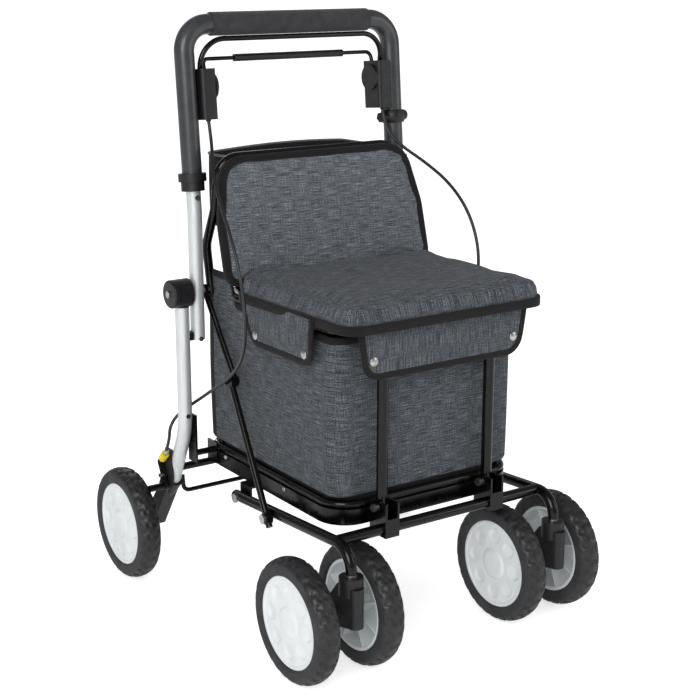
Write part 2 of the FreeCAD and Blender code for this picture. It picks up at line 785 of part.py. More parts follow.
# Shopping bag: an open fabric box whose foot stands inside the loop, with a raised wing each side at the rear.
bag_base = z.tray_base_z + z.tray_wall + z.clearance
bag_step = bag_base + z.bag_foot_height
foot_outer = slab(z.bag_foot_half_width, z.bag_foot_front, z.bag_foot_rear, z.bag_foot_corner, bag_base,
                  z.bag_foot_height)
foot_inner = slab(z.bag_foot_half_width - z.bag_wall, z.bag_foot_front - z.bag_wall, z.bag_foot_rear - z.bag_wall,
                  z.bag_foot_corner - z.bag_wall, bag_base + z.bag_wall, z.bag_foot_height)
body_height = z.bag_top_z - bag_step
wall_outer = slab(z.bag_half_width, z.bag_front, z.bag_rear, z.bag_corner, bag_step, body_height)
wall_inner = slab(z.bag_half_width - z.bag_wall, z.bag_front - z.bag_wall, z.bag_rear - z.bag_wall,
                  z.bag_corner - z.bag_wall, bag_step + z.bag_wall, body_height)
bag_shape = foot_outer.fuse(wall_outer).cut(wall_inner).cut(foot_inner)
for sign in (-1, 1):
    low = -z.bag_half_width if sign < 0 else z.bag_half_width - z.bag_wall
    wing = Part.makeBox(z.bag_wall, z.bag_wing_rear - z.bag_wing_front, z.bag_wing_top_z - bag_step - z.bag_wall,
                        Vector(low, z.bag_wing_front, bag_step + z.bag_wall))
    bag_shape = bag_shape.fuse(wing)
keep(solid("bag", bag_shape.removeSplitter()), "shopping_bag")

# Rear legs with what is fixed on them.
leg_skins = []
legs = []
for side, sign in SIDES:
    x = sign * z.leg_x
    path = bends([
        Vector(x, z.leg_pivot_y, z.hinge_z - z.hub_outer_radius),
        Vector(x, z.leg_pivot_y, z.leg_bend_z),
        Vector(x, z.leg_foot_y, z.leg_foot_z),
    ], z.leg_bend)
    leg_skins.append(solid(f"leg_skin_{side}", along(path, z.leg_radius)))
    legs.append(solid(f"leg_{side}", tube(path, z.leg_radius, z.tube_wall)))
keep(group("leg_pair", *legs), "rear_legs")
rear_bar = rod("rear_bar", "Sizes.rear_cross_radius", "2 * Sizes.leg_x",
               Vector(-z.leg_x, z.rear_cross_y, z.rear_cross_z), Vector(1, 0, 0))
keep(cut("rear_cross", rear_bar, *leg_skins), "rear_cross_tube")
rod_x = leg_inside - z.step_rod_radius / 2
step_path = bends([
    Vector(-rod_x, z.step_rod_y + z.step_rod_radius, z.step_rod_z + z.step_rod_drop),
    Vector(-rod_x, z.step_rod_y, z.step_rod_z),
    Vector(rod_x, z.step_rod_y, z.step_rod_z),
    Vector(rod_x, z.step_rod_y + z.step_rod_radius, z.step_rod_z + z.step_rod_drop),
], z.step_rod_bend)
keep(cut("step_rod", solid("step_rod_bar", along(step_path, z.step_rod_radius)), *leg_skins), "rear_step_rod")

plates = []
for side, sign in SIDES:
    low = sign * leg_inside if sign < 0 else bracket_inside
    plate = block(f"leg_plate_{side}", ("Sizes.plate_thickness", "Sizes.leg_bracket_width", "Sizes.leg_bracket_height"),
                  Vector(low, z.leg_pivot_y - z.leg_bracket_width / 2, z.leg_pivot_z - z.leg_bracket_drop))
    eye = rod(f"leg_plate_eye_{side}", "Sizes.axle_radius + Sizes.running_fit", "4 * Sizes.plate_thickness",
              Vector(sign * (bracket_inside - z.plate_thickness), z.leg_pivot_y, z.leg_pivot_z), Vector(sign, 0, 0))
    plates.append(cut(f"leg_plate_cut_{side}", plate, eye, leg_skins[0 if sign < 0 else 1]))
keep(group("leg_plates", *plates), "leg_brackets")

bumpers = []
for side, sign in SIDES:
    width = z.leg_x - z.stem_x - z.stem_radius - z.clearance
    inner_face = z.stem_x + z.stem_radius + z.clearance
    low = -inner_face - width if sign < 0 else inner_face
    pad = block(f"bumper_pad_{side}", (width, "Sizes.bumper_depth", "Sizes.bumper_height"),
                Vector(low, z.leg_pivot_y - z.bumper_depth / 2, z.bumper_z))
    bumpers.append(cut(f"bumper_{side}", pad, leg_skins[0 if sign < 0 else 1]))
keep(group("bumper_pair", *bumpers), "leg_bumpers")

hubs = []
for side, sign in SIDES:
    drum = rod(f"hub_drum_{side}", "Sizes.hub_outer_radius", "2 * Sizes.leg_radius",
               Vector(sign * leg_inside, z.leg_pivot_y, z.hinge_z), Vector(sign, 0, 0))
    spigot = rod(f"hub_spigot_{side}", "Sizes.leg_radius - Sizes.tube_wall", "Sizes.hub_spigot_length",
                 Vector(sign * z.leg_x, z.leg_pivot_y, z.hinge_z - z.hub_outer_radius - z.hub_spigot_length / 2),
                 Vector(0, 0, 1))
    eye = rod(f"hub_eye_{side}", "Sizes.hub_bolt_radius", "4 * Sizes.leg_radius",
              Vector(sign * (leg_inside - z.leg_radius), z.leg_pivot_y, z.hinge_z), Vector(sign, 0, 0))
    whole = cut(f"hub_{side}", fuse(f"hub_body_{side}", drum, spigot), eye)
    hubs.append(whole)
keep(group("hub_pair", *hubs), "leg_hubs")

hub_bolts = []
link_outer = z.stem_x - z.stem_radius - z.link_gap
bolt_inner = link_outer + z.clearance
knob_outer = z.leg_x + z.leg_radius + z.clearance + z.knob_thickness
for side, sign in SIDES:
    shaft = rod(f"hub_bolt_shaft_{side}", "Sizes.hub_bolt_radius", knob_outer + z.clearance - bolt_inner,
                Vector(sign * bolt_inner, z.leg_pivot_y, z.hinge_z), Vector(sign, 0, 0))
    head = rod(f"hub_bolt_head_{side}", "Sizes.hub_bolt_head_radius", "Sizes.hub_bolt_head_height",
               Vector(sign * (knob_outer + z.clearance), z.leg_pivot_y, z.hinge_z), Vector(sign, 0, 0))
    hub_bolts.append(fuse(f"hub_bolt_{side}", shaft, head))
    knob = rod(f"knob_drum_{side}", "Sizes.hub_outer_radius", "Sizes.knob_thickness",
               Vector(sign * (z.leg_x + z.leg_radius + z.clearance), z.leg_pivot_y, z.hinge_z), Vector(sign, 0, 0))
    eye = rod(f"knob_eye_{side}", "Sizes.hub_bolt_radius + Sizes.running_fit", "3 * Sizes.knob_thickness",
              Vector(sign * (z.leg_x + z.leg_radius - z.knob_thickness), z.leg_pivot_y, z.hinge_z),
              Vector(sign, 0, 0))
    doc.recompute()
    rounded = doc.addObject("Part::Fillet", f"knob_round_{side}")
    rounded.Base = knob
    rim_edges = [index for index, edge in enumerate(knob.Shape.Edges, start=1)
                 if abs(edge.BoundBox.XLength) < z.running_fit
                 and abs(abs(edge.BoundBox.XMin) - knob_outer) < z.clearance]
    rounded.Edges = [(index, z.knob_round, z.knob_round) for index in rim_edges]
    keep(cut(f"knob_{side}", rounded, eye), f"clamp_knob_{side}")

# Rear wheel brackets, their axles and the brakes.
step_space = solid("step_space", along(step_path, z.step_rod_radius))
cross_space = rod("cross_space", "Sizes.rear_cross_radius", "2 * Sizes.leg_x",
                  Vector(-z.leg_x, z.rear_cross_y, z.rear_cross_z), Vector(1, 0, 0))
wheel_brackets = []
bracket_outer = z.leg_x + z.leg_radius + z.wheel_bracket_proud
for side, sign in SIDES:
    boss = z.wheel_bracket_boss
    slant = boss * slant_share
    points = [
        (z.leg_foot_y - slant / 2, z.leg_foot_z - slant / 2),
        (z.half_wheelbase - slant, axle_z - slant),
        ((z.half_wheelbase + slant, axle_z - slant), (z.half_wheelbase + slant, axle_z + slant)),
        (z.leg_foot_y + boss * 2, z.leg_foot_z - boss),
        (z.brake_pivot_y + slant, z.brake_pivot_z + slant),
    ]
    ear_points = [
        (z.ear_front_y, z.leg_foot_z),
        (z.leg_foot_y + boss, z.leg_foot_z - boss),
        (z.brake_pivot_y + boss, z.brake_pivot_z + boss),
        (z.ear_rear_y, z.ear_top_z),
        (z.ear_front_y, z.ear_top_z),
    ]
    middle = bracket_outer - z.wheel_bracket_width / 2
    plate = profile_plate(f"wheel_plate_{side}", points, "Sizes.wheel_bracket_width", upright_place(sign * middle))
    ear = profile_plate(f"wheel_ear_{side}", ear_points, "Sizes.ear_thickness",
                        upright_place(sign * (bracket_outer - z.ear_thickness / 2)))
    sleeve_turn = math.radians(z.wheel_sleeve_slant)
    sleeve_way = Vector(0, math.cos(sleeve_turn), -math.sin(sleeve_turn))
    sleeve_start = Vector(sign * z.leg_x, z.leg_foot_y, z.leg_foot_z) - sleeve_way * z.wheel_sleeve_rise
    sleeve = rod(f"wheel_sleeve_{side}", bracket_outer - z.leg_x, "Sizes.wheel_sleeve_length", sleeve_start, sleeve_way)
    plate = fuse(f"wheel_body_{side}", plate, ear, sleeve)
    axle_eye = rod(f"wheel_eye_{side}", "Sizes.axle_radius", "4 * Sizes.wheel_bracket_width",
                   Vector(sign * (middle - 2 * z.wheel_bracket_width), z.half_wheelbase, axle_z), Vector(sign, 0, 0))
    pin_eye = rod(f"brake_eye_{side}", "Sizes.brake_pin_radius", "4 * Sizes.wheel_bracket_width",
                  Vector(sign * (middle - 2 * z.wheel_bracket_width), z.brake_pivot_y, z.brake_pivot_z),
                  Vector(sign, 0, 0))
    skin = leg_skins[0 if sign < 0 else 1]
    wheel_brackets.append(cut(f"wheel_bracket_{side}", plate, axle_eye, pin_eye, skin, step_space, cross_space))
keep(group("wheel_bracket_pair", *wheel_brackets), "wheel_brackets")

bracket_inner = bracket_outer - z.wheel_bracket_width
axles = []
brake_pins = []
for side, sign in SIDES:
    outer_end = z.rear_track_half + blind_depth - z.clearance
    shaft = rod(f"rear_shaft_{side}", "Sizes.axle_radius", outer_end - bracket_inner,
                Vector(sign * bracket_inner, z.half_wheelbase, axle_z), Vector(sign, 0, 0))
    spacer = rod(f"rear_spacer_{side}", "Sizes.axle_spacer_radius",
                 z.rear_track_half - hub_inner - z.clearance - bracket_outer,
                 Vector(sign * bracket_outer, z.half_wheelbase, axle_z), Vector(sign, 0, 0))
    axles.append(fuse(f"rear_axle_{side}", shaft, spacer))
    pin = rod(f"brake_pin_bar_{side}", "Sizes.brake_pin_radius", "Sizes.leg_radius + 2 * Sizes.brake_arm_thickness",
              Vector(sign * (bracket_outer - z.leg_radius), z.brake_pivot_y, z.brake_pivot_z), Vector(sign, 0, 0))
    brake_pins.append(cut(f"brake_pin_{side}", pin, leg_skins[0 if sign < 0 else 1]))
keep(group("leg_fastener_set", *hub_bolts, *axles, *brake_pins), "leg_fasteners")

for side, sign in SIDES:
    middle = bracket_outer + z.clearance + z.brake_arm_thickness / 2
    radius = z.brake_arm_radius
    outline = [
        (z.brake_shoe_y - radius, z.brake_shoe_z),
        ((z.brake_shoe_y, z.brake_shoe_z - radius), (z.brake_shoe_y + radius, z.brake_shoe_z)),
        (z.brake_pivot_y + radius, z.brake_pivot_z),
        (z.brake_anchor_y + radius, z.brake_anchor_z),
        ((z.brake_anchor_y, z.brake_anchor_z + radius), (z.brake_anchor_y - radius, z.brake_anchor_z)),
        (z.brake_pivot_y - radius, z.brake_pivot_z),
    ]
    arm = profile_plate(f"arm_plate_{side}", outline, "Sizes.brake_arm_thickness", upright_place(sign * middle))
    shoe = rod(f"shoe_{side}", "Sizes.brake_shoe_radius", bracket_outer + z.brake_shoe_reach - middle,
               Vector(sign * middle, z.brake_shoe_y, z.brake_shoe_z), Vector(sign, 0, 0))
    eye = rod(f"arm_eye_{side}", "Sizes.brake_pin_radius + Sizes.running_fit", "4 * Sizes.brake_arm_thickness",
              Vector(sign * (middle - 2 * z.brake_arm_thickness), z.brake_pivot_y, z.brake_pivot_z),
              Vector(sign, 0, 0))
    keep(cut(f"arm_{side}", fuse(f"arm_body_{side}", arm, shoe), eye), f"brake_arm_{side}")

# Folding braces: a flat upper link on the hub bolt and a round lower link on the rail, side by side at the knee.
hinge = Vector(0, z.leg_pivot_y, z.hinge_z)
foot_pivot = Vector(0, -z.brace_foot_y, z.brace_foot_z)
knee_share = 0.585
knee = foot_pivot + (hinge - foot_pivot) * knee_share
heading = (hinge - foot_pivot).normalize()
link_middle = link_outer - z.link_thickness / 2
knee_x = link_outer + z.link_gap + z.clip_thickness / 2
link_length = (hinge - knee).Length
lean = math.degrees(math.atan2(heading.y, heading.z))
for side, sign in SIDES:
    turn_flat = Rotation(Vector(1, 0, 0), -lean)
    half_link = z.link_width / 2
    low_corner = knee + Vector(sign * link_middle - z.link_thickness / 2, 0, 0)
    low_corner = low_corner - turn_flat.multVec(Vector(0, half_link, 0))
    bar = block(f"link_bar_{side}", ("Sizes.link_thickness", "Sizes.link_width", link_length), low_corner, turn_flat)
    groove_low = knee + Vector(sign * link_outer - (0 if sign < 0 else z.link_groove_depth), 0, 0)
    groove_low = groove_low - turn_flat.multVec(Vector(0, half_link / 2, 0)) + heading * z.brace_eye_radius
    groove = block(f"link_groove_{side}", ("Sizes.link_groove_depth", "Sizes.link_width / 2",
                                           link_length - 2 * z.brace_eye_radius), groove_low, turn_flat)
    eyes = []
    for place, centre in (("top", hinge), ("knee", knee)):
        eyes.append(rod(f"link_eye_{place}_{side}", "Sizes.brace_eye_radius", "Sizes.link_thickness",
                        centre + Vector(sign * (link_outer - z.link_thickness), 0, 0), Vector(sign, 0, 0)))
    spaces = []
    for place, centre, radius in (("top", hinge, "Sizes.hub_bolt_radius + Sizes.clearance"),
                                  ("knee", knee, "Sizes.knee_pin_radius + Sizes.running_fit")):
        spaces.append(rod(f"link_bore_{place}_{side}", radius, "4 * Sizes.link_thickness",
                          centre + Vector(sign * (link_outer - 2 * z.link_thickness), 0, 0), Vector(sign, 0, 0)))
    link = cut(f"link_{side}", fuse(f"link_body_{side}", bar, *eyes), groove, *spaces)
    keep(link, f"brace_upper_{side}")

    top = knee + Vector(sign * knee_x, 0, 0)
    bottom = foot_pivot + Vector(sign * brace_foot_x, 0, 0)
    down = (bottom - top).normalize()
    bar_length = (bottom - top).Length + z.brace_tail
    lower = solid(f"lower_bar_{side}", Part.makeCylinder(z.brace_radius, bar_length, top, down))
    eye = rod(f"lower_eye_{side}", "Sizes.brace_eye_radius", "2 * Sizes.brace_radius",
              Vector(sign * (brace_foot_x - z.brace_radius), -z.brace_foot_y, z.brace_foot_z), Vector(sign, 0, 0))
    space = rod(f"lower_bore_{side}", "Sizes.hub_bolt_radius + Sizes.running_fit", "8 * Sizes.brace_radius",
                Vector(sign * (brace_foot_x - 4 * z.brace_radius), -z.brace_foot_y, z.brace_foot_z),
                Vector(sign, 0, 0))
    clip = rod(f"clip_{side}", "Sizes.clip_radius", "Sizes.clip_thickness", top - Vector(z.clip_thickness / 2, 0, 0),
               Vector(1, 0, 0))
    pin_reach = z.clip_thickness / 2 + z.link_gap + 2 * z.link_thickness
    knee_pin = rod(f"knee_pin_{side}", "Sizes.knee_pin_radius", pin_reach, top, Vector(-sign, 0, 0))
    whole = fuse(f"lower_body_{side}", lower, eye, clip, knee_pin)
    keep(cut(f"lower_{side}", whole, space), f"brace_lower_{side}")

# Handle stems, bent a little above the hinge so that the handle leans to the user.
tilt = math.radians(z.stem_tilt)
lean_up = Vector(0, math.sin(tilt), math.cos(tilt))
bend_point = Vector(0, z.leg_pivot_y, z.stem_bend_z)
tilt_turn = Rotation(Vector(1, 0, 0), -z.stem_tilt)


def on_stem(x, distance, forward=0.0):
    """A place along the leaning part of the stem, from its bend."""
    return bend_point + Vector(x, 0, 0) + lean_up * distance + tilt_turn.multVec(Vector(0, -forward, 0))


stems = []
for side, sign in SIDES:
    x = sign * z.stem_x
    path = bends([Vector(x, z.leg_pivot_y, z.stem_foot_z), bend_point + Vector(x, 0, 0), on_stem(x, z.stem_reach)],
                 z.stem_bend)
    stem = solid(f"stem_tube_{side}", tube(path, z.stem_radius, z.tube_wall))
    eye = rod(f"stem_eye_{side}", "Sizes.hub_bolt_radius + Sizes.running_fit", "4 * Sizes.stem_radius",
              Vector(x - 2 * z.stem_radius, z.leg_pivot_y, z.hinge_z), Vector(1, 0, 0))
    button_axis = tilt_turn.multVec(Vector(0, 1, 0))
    button_front = on_stem(x, z.button_height, z.stem_radius + z.button_proud)
    window = rod(f"stem_window_{side}", "Sizes.button_radius + Sizes.running_fit", "Sizes.stem_radius",
                 button_front, button_axis)
    stems.append(cut(f"stem_{side}", stem, eye, window))
    button = rod(f"button_{side}", "Sizes.button_radius", "Sizes.button_length", button_front, button_axis)
    keep(button, f"height_button_{side}")
keep(group("stem_pair", *stems), "handle_stems")

# Handle: the black U tube with its grip, collars and brake boxes.
corner_left = on_stem(-z.stem_x, z.handle_rise)
corner_right = on_stem(z.stem_x, z.handle_rise)
tube_start = z.collar_start + z.collar_sleeve_length
handle_path = bends([on_stem(-z.stem_x, tube_start), corner_left, corner_right, on_stem(z.stem_x, tube_start)],
                    z.handle_bend)
handle_wall = z.handle_radius - z.stem_radius - z.handle_bore_gap
keep(solid("handle", tube(handle_path, z.handle_radius, handle_wall)), "handle_tube")
sleeve = rod("grip_sleeve", "Sizes.grip_radius", "2 * Sizes.grip_half_length",
             corner_left + Vector(z.stem_x - z.grip_half_length, 0, 0), Vector(1, 0, 0))
core = rod("grip_core", "Sizes.handle_radius", "4 * Sizes.grip_half_length",
           corner_left + Vector(z.stem_x - 2 * z.grip_half_length, 0, 0), Vector(1, 0, 0))
keep(cut("grip", sleeve, core), "handle_grip")

collars = []
for side, sign in SIDES:
    x = sign * z.stem_x
    lower = rod(f"collar_sleeve_{side}", "Sizes.collar_sleeve_radius", "Sizes.collar_sleeve_length",
                on_stem(x, z.collar_start), lean_up)
    upper = rod(f"collar_flange_{side}", "Sizes.collar_flange_radius", "Sizes.collar_flange_length",
                on_stem(x, tube_start), lean_up)
    stem_space = rod(f"collar_bore_{side}", "Sizes.stem_radius + Sizes.handle_bore_gap", "2 * Sizes.collar_sleeve_length",
                     on_stem(x, z.collar_start - z.collar_sleeve_length / 2), lean_up)
    tube_space = rod(f"collar_seat_{side}", "Sizes.handle_radius", "2 * Sizes.collar_flange_length",
                     on_stem(x, tube_start), lean_up)
    collars.append(cut(f"collar_{side}", fuse(f"collar_body_{side}", lower, upper), stem_space, tube_space))
keep(group("collar_pair", *collars), "handle_collars")

# Brake boxes on the inner side of the handle, open at the top for the two levers on one pin.
boxes = []
lever_pins = []
box_outer = z.stem_x - z.handle_radius
box_inner = box_outer - z.box_width
pin_distance = z.box_top_rise - z.lever_pin_drop
for side, sign in SIDES:
    low_x = -box_outer if sign < 0 else box_inner
    corner = on_stem(low_x, z.box_top_rise - z.box_height, z.box_depth / 2)
    shell = block(f"box_shell_{side}", ("Sizes.box_width", "Sizes.box_depth", "Sizes.box_height"), corner, tilt_turn)
    doc.recompute()
    rounded = doc.addObject("Part::Fillet", f"box_round_{side}")
    rounded.Base = shell
    long_edges = [index for index, edge in enumerate(shell.Shape.Edges, start=1)
                  if edge.BoundBox.XLength < z.running_fit and edge.BoundBox.ZLength > z.box_height / 2]
    rounded.Edges = [(index, z.box_round, z.box_round) for index in long_edges]
    dome = rod(f"box_dome_{side}", "Sizes.dome_radius", "Sizes.dome_thickness",
               on_stem(sign * box_inner, z.box_top_rise - z.dome_radius - z.box_round), Vector(-sign, 0, 0))
    recess_x = low_x + z.box_wall
    recess = block(f"box_recess_{side}", ("Sizes.box_width - 2 * Sizes.box_wall", "Sizes.box_depth - 2 * Sizes.box_wall",
                                          "2 * Sizes.box_recess_depth"),
                   on_stem(recess_x, z.box_top_rise - z.box_recess_depth, z.box_depth / 2 - z.box_wall), tilt_turn)
    boxes.append(cut(f"box_{side}", fuse(f"box_body_{side}", rounded, dome), recess))
    lever_pins.append(rod(f"lever_pin_{side}", "Sizes.lever_pin_radius", "Sizes.box_width - 2 * Sizes.box_wall",
                          on_stem(recess_x, pin_distance), Vector(1, 0, 0)))
keep(group("box_pair", *boxes), "brake_boxes")
keep(group("lever_pin_pair", *lever_pins), "lever_pins")


def lever(name, radius, half_width, rise, forward, bend):
    """A U rod with an eye at each end that turns on the box pins."""
    points = [
        on_stem(-half_width, pin_distance),
        on_stem(-half_width, pin_distance + rise, forward),
        on_stem(half_width, pin_distance + rise, forward),
        on_stem(half_width, pin_distance),
    ]
    bar = along(bends(points, bend), radius)
    axis = Vector(1, 0, 0)
    for sign in (-1, 1):
        start = on_stem(sign * half_width - radius, pin_distance)
        bar = bar.fuse(Part.makeCylinder(z.lever_eye_radius, 2 * radius, start, axis))
    for sign in (-1, 1):
        start = on_stem(sign * half_width - 2 * radius, pin_distance)
        bar = bar.cut(Part.makeCylinder(z.lever_pin_radius + z.running_fit, 4 * radius, start, axis))
    return bar


keep(solid("bail", lever("bail", z.bail_radius, z.bail_half_width, z.bail_rise, z.bail_forward, z.bail_bend)),
     "service_brake_lever")
parking = lever("parking", z.parking_radius, z.parking_half_width, z.parking_rise, -z.parking_back, z.parking_bend)
sleeve_start = on_stem(-z.parking_sleeve_half, pin_distance + z.parking_rise, -z.parking_back)
parking_sleeve = Part.makeCylinder(z.parking_sleeve_radius, 2 * z.parking_sleeve_half, sleeve_start, Vector(1, 0, 0))
parking_core = Part.makeCylinder(z.parking_radius, 2 * z.parking_sleeve_half, sleeve_start, Vector(1, 0, 0))
keep(solid("parking_bar_rod", parking), "parking_bar")
keep(solid("parking_sleeve_tube", parking_sleeve.cut(parking_core)), "parking_sleeve")

# Seat frame: one bent tube, narrow at the hinge and wide under the cushion, with clips for the hoop's bar.
hoop_top_z = z.hoop_pivot_z + z.hoop_height
jog_y = z.seat_rear_x / 3
seat_points = []
for sign in (-1, 1):
    half = [
        Vector(sign * z.seat_rear_x, z.leg_pivot_y + z.seat_tube_radius, z.hinge_z),
        Vector(sign * z.seat_rear_x, jog_y + z.seat_bend, z.hinge_z),
        Vector(sign * z.seat_front_x, jog_y, z.hinge_z),
        Vector(sign * z.seat_front_x, -z.seat_front_y - z.seat_corner_ahead, hoop_top_z),
        Vector(sign * (z.seat_front_x - z.seat_corner_width), -z.seat_front_y - z.seat_corner_ahead, hoop_top_z),
        Vector(sign * (z.seat_front_x - z.seat_corner_width), -z.seat_front_y, hoop_top_z),
    ]
    seat_points += half if sign < 0 else half[::-1]
front_bends = [z.seat_front_bend] * 3
seat_path = bends(seat_points, [z.seat_bend] * 2 + front_bends + front_bends + [z.seat_bend] * 2)
seat_tube = solid("seat_tube", tube(seat_path, z.seat_tube_radius, z.tube_wall))
seat_eye = rod("seat_eye", "Sizes.hub_bolt_radius + Sizes.running_fit", "4 * Sizes.seat_rear_x",
               Vector(-2 * z.seat_rear_x, z.leg_pivot_y, z.hinge_z), Vector(1, 0, 0))
keep(cut("seat_frame_cut", seat_tube, seat_eye), "seat_frame")
seat_skin = solid("seat_skin", along(seat_path, z.seat_tube_radius))
clips = []
for side, sign in SIDES:
    trough = z.frame_tube_radius + z.clearance + z.plate_thickness
    low = Vector(sign * z.seat_clip_x - z.seat_clip_length / 2, -z.hoop_pivot_y - trough, hoop_top_z - trough)
    holder = block(f"clip_block_{side}", ("Sizes.seat_clip_length", z.hoop_pivot_y + trough - z.seat_front_y, trough),
                   low)
    space = rod(f"clip_space_{side}", "Sizes.frame_tube_radius + Sizes.clearance", "2 * Sizes.seat_clip_length",
                Vector(sign * z.seat_clip_x - z.seat_clip_length, -z.hoop_pivot_y, hoop_top_z), Vector(1, 0, 0))
    clips.append(cut(f"hoop_clip_{side}", holder, space, seat_skin))
keep(group("hoop_clip_pair", *clips), "hoop_clips")
seat_pins = []
pin_inner = z.seat_rear_x - z.seat_tube_radius
pin_outer = link_outer - z.link_thickness - z.clearance
for side, sign in SIDES:
    seat_pins.append(rod(f"seat_pin_{side}", "Sizes.hub_bolt_radius", pin_outer - pin_inner,
                         Vector(sign * pin_inner, z.leg_pivot_y, z.hinge_z), Vector(sign, 0, 0)))
keep(group("seat_pin_pair", *seat_pins), "seat_pins")

# Front hoop: two uprights and their top bar in one tube.
hoop_path = bends([
    Vector(-z.hoop_half_width, -z.hoop_pivot_y, z.hoop_pivot_z - z.hoop_foot),
    Vector(-z.hoop_half_width, -z.hoop_pivot_y, hoop_top_z),
    Vector(z.hoop_half_width, -z.hoop_pivot_y, hoop_top_z),
    Vector(z.hoop_half_width, -z.hoop_pivot_y, z.hoop_pivot_z - z.hoop_foot),
], z.hoop_bend)
hoop_tube = solid("hoop_tube", tube(hoop_path, z.frame_tube_radius, z.tube_wall))
hoop_eye = rod("hoop_eye", "Sizes.hoop_pin_radius + Sizes.running_fit", "4 * Sizes.hoop_half_width",
               Vector(-2 * z.hoop_half_width, -z.hoop_pivot_y, z.hoop_pivot_z), Vector(1, 0, 0))
keep(cut("hoop", hoop_tube, hoop_eye), "front_hoop")

# Seat lid: board, cushion with its crown and drawn-in sides, and the flaps that hang from it.
board_z = z.cushion_base_z - z.board_thickness
board = slab(z.seat_front_x + z.seat_tube_radius, z.front_flap_y - z.flap_thickness - z.clearance,
             z.cushion_rear - z.seat_tube_radius, z.cushion_corner, board_z, z.board_thickness)
keep(solid("board", board), "seat_board")
cushion_shares = ((0.0, -0.10), (0.16, 0.06), (0.5, 0.10), (0.8, 0.0), (1.0, -0.30))
sections = []
for height_share, spread_share in cushion_shares:
    spread = z.cushion_height * spread_share
    points = plan_points(z.cushion_front_half + spread, z.cushion_rear_half + spread, z.cushion_front + spread,
                         z.cushion_rear + min(spread, 0), z.cushion_base_z + z.cushion_height * height_share)
    sections.append(bends(points, z.cushion_corner + spread, True))
top_inset = z.cushion_height * 3
top_points = plan_points(z.cushion_front_half - top_inset, z.cushion_rear_half - top_inset, z.cushion_front - top_inset,
                         z.cushion_rear - top_inset, z.cushion_base_z + z.cushion_height + z.cushion_crown)
sections.append(bends(top_points, z.cushion_corner, True))
keep(solid("cushion", Part.makeLoft(sections, True, True)), "seat_cushion")

flap_top = z.cushion_base_z - z.clearance
front_face = Part.Face(bends([
    Vector(-z.front_flap_half, -z.front_flap_y, flap_top),
    Vector(z.front_flap_half, -z.front_flap_y, flap_top),
    Vector(z.front_flap_half - z.flap_corner / 2, -z.front_flap_y, flap_top - z.front_flap_drop),
    Vector(-z.front_flap_half + z.flap_corner / 2, -z.front_flap_y, flap_top - z.front_flap_drop),
], [z.flap_thickness, z.flap_thickness, z.flap_corner, z.flap_corner], True))
flaps = [solid("front_flap", front_face.extrude(Vector(0, z.flap_thickness, 0)))]
for side, sign in SIDES:
    x = sign * z.side_flap_x
    side_face = Part.Face(bends([
        Vector(x, -z.side_flap_front, flap_top),
        Vector(x, z.side_flap_rear, flap_top),
        Vector(x, z.side_flap_rear - z.flap_corner, flap_top - z.side_flap_drop),
        Vector(x, -z.side_flap_front + z.flap_corner / 2, flap_top - z.side_flap_drop),
    ], [z.flap_thickness, z.flap_thickness, z.flap_corner, z.flap_corner], True))
    flaps.append(solid(f"side_flap_{side}", side_face.extrude(Vector(-sign * z.flap_thickness, 0, 0))))
keep(group("flap_set", *flaps), "lid_flaps")

# Backrest: a bent tube on the hub bolts, the padded panel in front of it and the pocket behind.
back_points = []
for sign in (-1, 1):
    x = sign * z.back_tube_x
    half = [
        Vector(x, z.leg_pivot_y, z.hinge_z - z.seat_tube_radius),
        Vector(x, z.back_tube_knee_y, z.back_tube_knee_z),
        Vector(x, z.back_tube_mid_y, z.back_tube_mid_z),
        Vector(x, z.back_tube_top_y, z.back_tube_top_z),
    ]
    back_points += half if sign < 0 else half[::-1]
back_tube = solid("back_tube", tube(bends(back_points, z.back_tube_bend), z.seat_tube_radius, z.tube_wall))
back_eye = rod("back_eye", "Sizes.hub_bolt_radius + Sizes.running_fit", "4 * Sizes.back_tube_x",
               Vector(-2 * z.back_tube_x, z.leg_pivot_y, z.hinge_z), Vector(1, 0, 0))
keep(cut("back_frame_cut", back_tube, back_eye), "backrest_frame")

pad_turn = Rotation(Vector(1, 0, 0), -z.pad_tilt)
pad_up = pad_turn.multVec(Vector(0, 0, 1))
pad_back = pad_turn.multVec(Vector(0, 1, 0))
pad_foot = Vector(0, z.pad_foot_y, z.pad_foot_z)
pad_shares = ((-0.5, -0.35), (-0.2, -0.05), (0.2, -0.05), (0.5, -0.35))
pad_sections = []
for depth_share, spread_share in pad_shares:
    spread = z.pad_thickness * spread_share
    origin = pad_foot + pad_back * (z.pad_thickness * depth_share)
    foot_half = z.pad_foot_half + spread
    top_half = z.pad_top_half + spread
    pad_sections.append(bends([
        origin + Vector(-foot_half, 0, 0) - pad_up * spread,
        origin + Vector(foot_half, 0, 0) - pad_up * spread,
        origin + Vector(top_half, 0, 0) + pad_up * (z.pad_length + spread),
        origin + Vector(-top_half, 0, 0) + pad_up * (z.pad_length + spread),
    ], [z.pad_thickness, z.pad_thickness, z.pad_corner, z.pad_corner], True))
keep(solid("pad", Part.makeLoft(pad_sections, True, True)), "backrest_pad")

pocket_front = z.back_tube_top_y + z.seat_tube_radius + z.clearance
pocket_outer = slab(z.pocket_half_width, -pocket_front, z.pocket_rear, z.pocket_corner, z.pocket_base_z,
                    z.pocket_height)
pocket_inner = slab(z.pocket_half_width - z.pocket_wall, -pocket_front - z.pocket_wall,
                    z.pocket_rear - z.pocket_wall, z.pocket_corner - z.pocket_wall,
                    z.pocket_base_z + z.pocket_wall, z.pocket_height)
keep(solid("pocket", pocket_outer.cut(pocket_inner)), "rear_pocket")

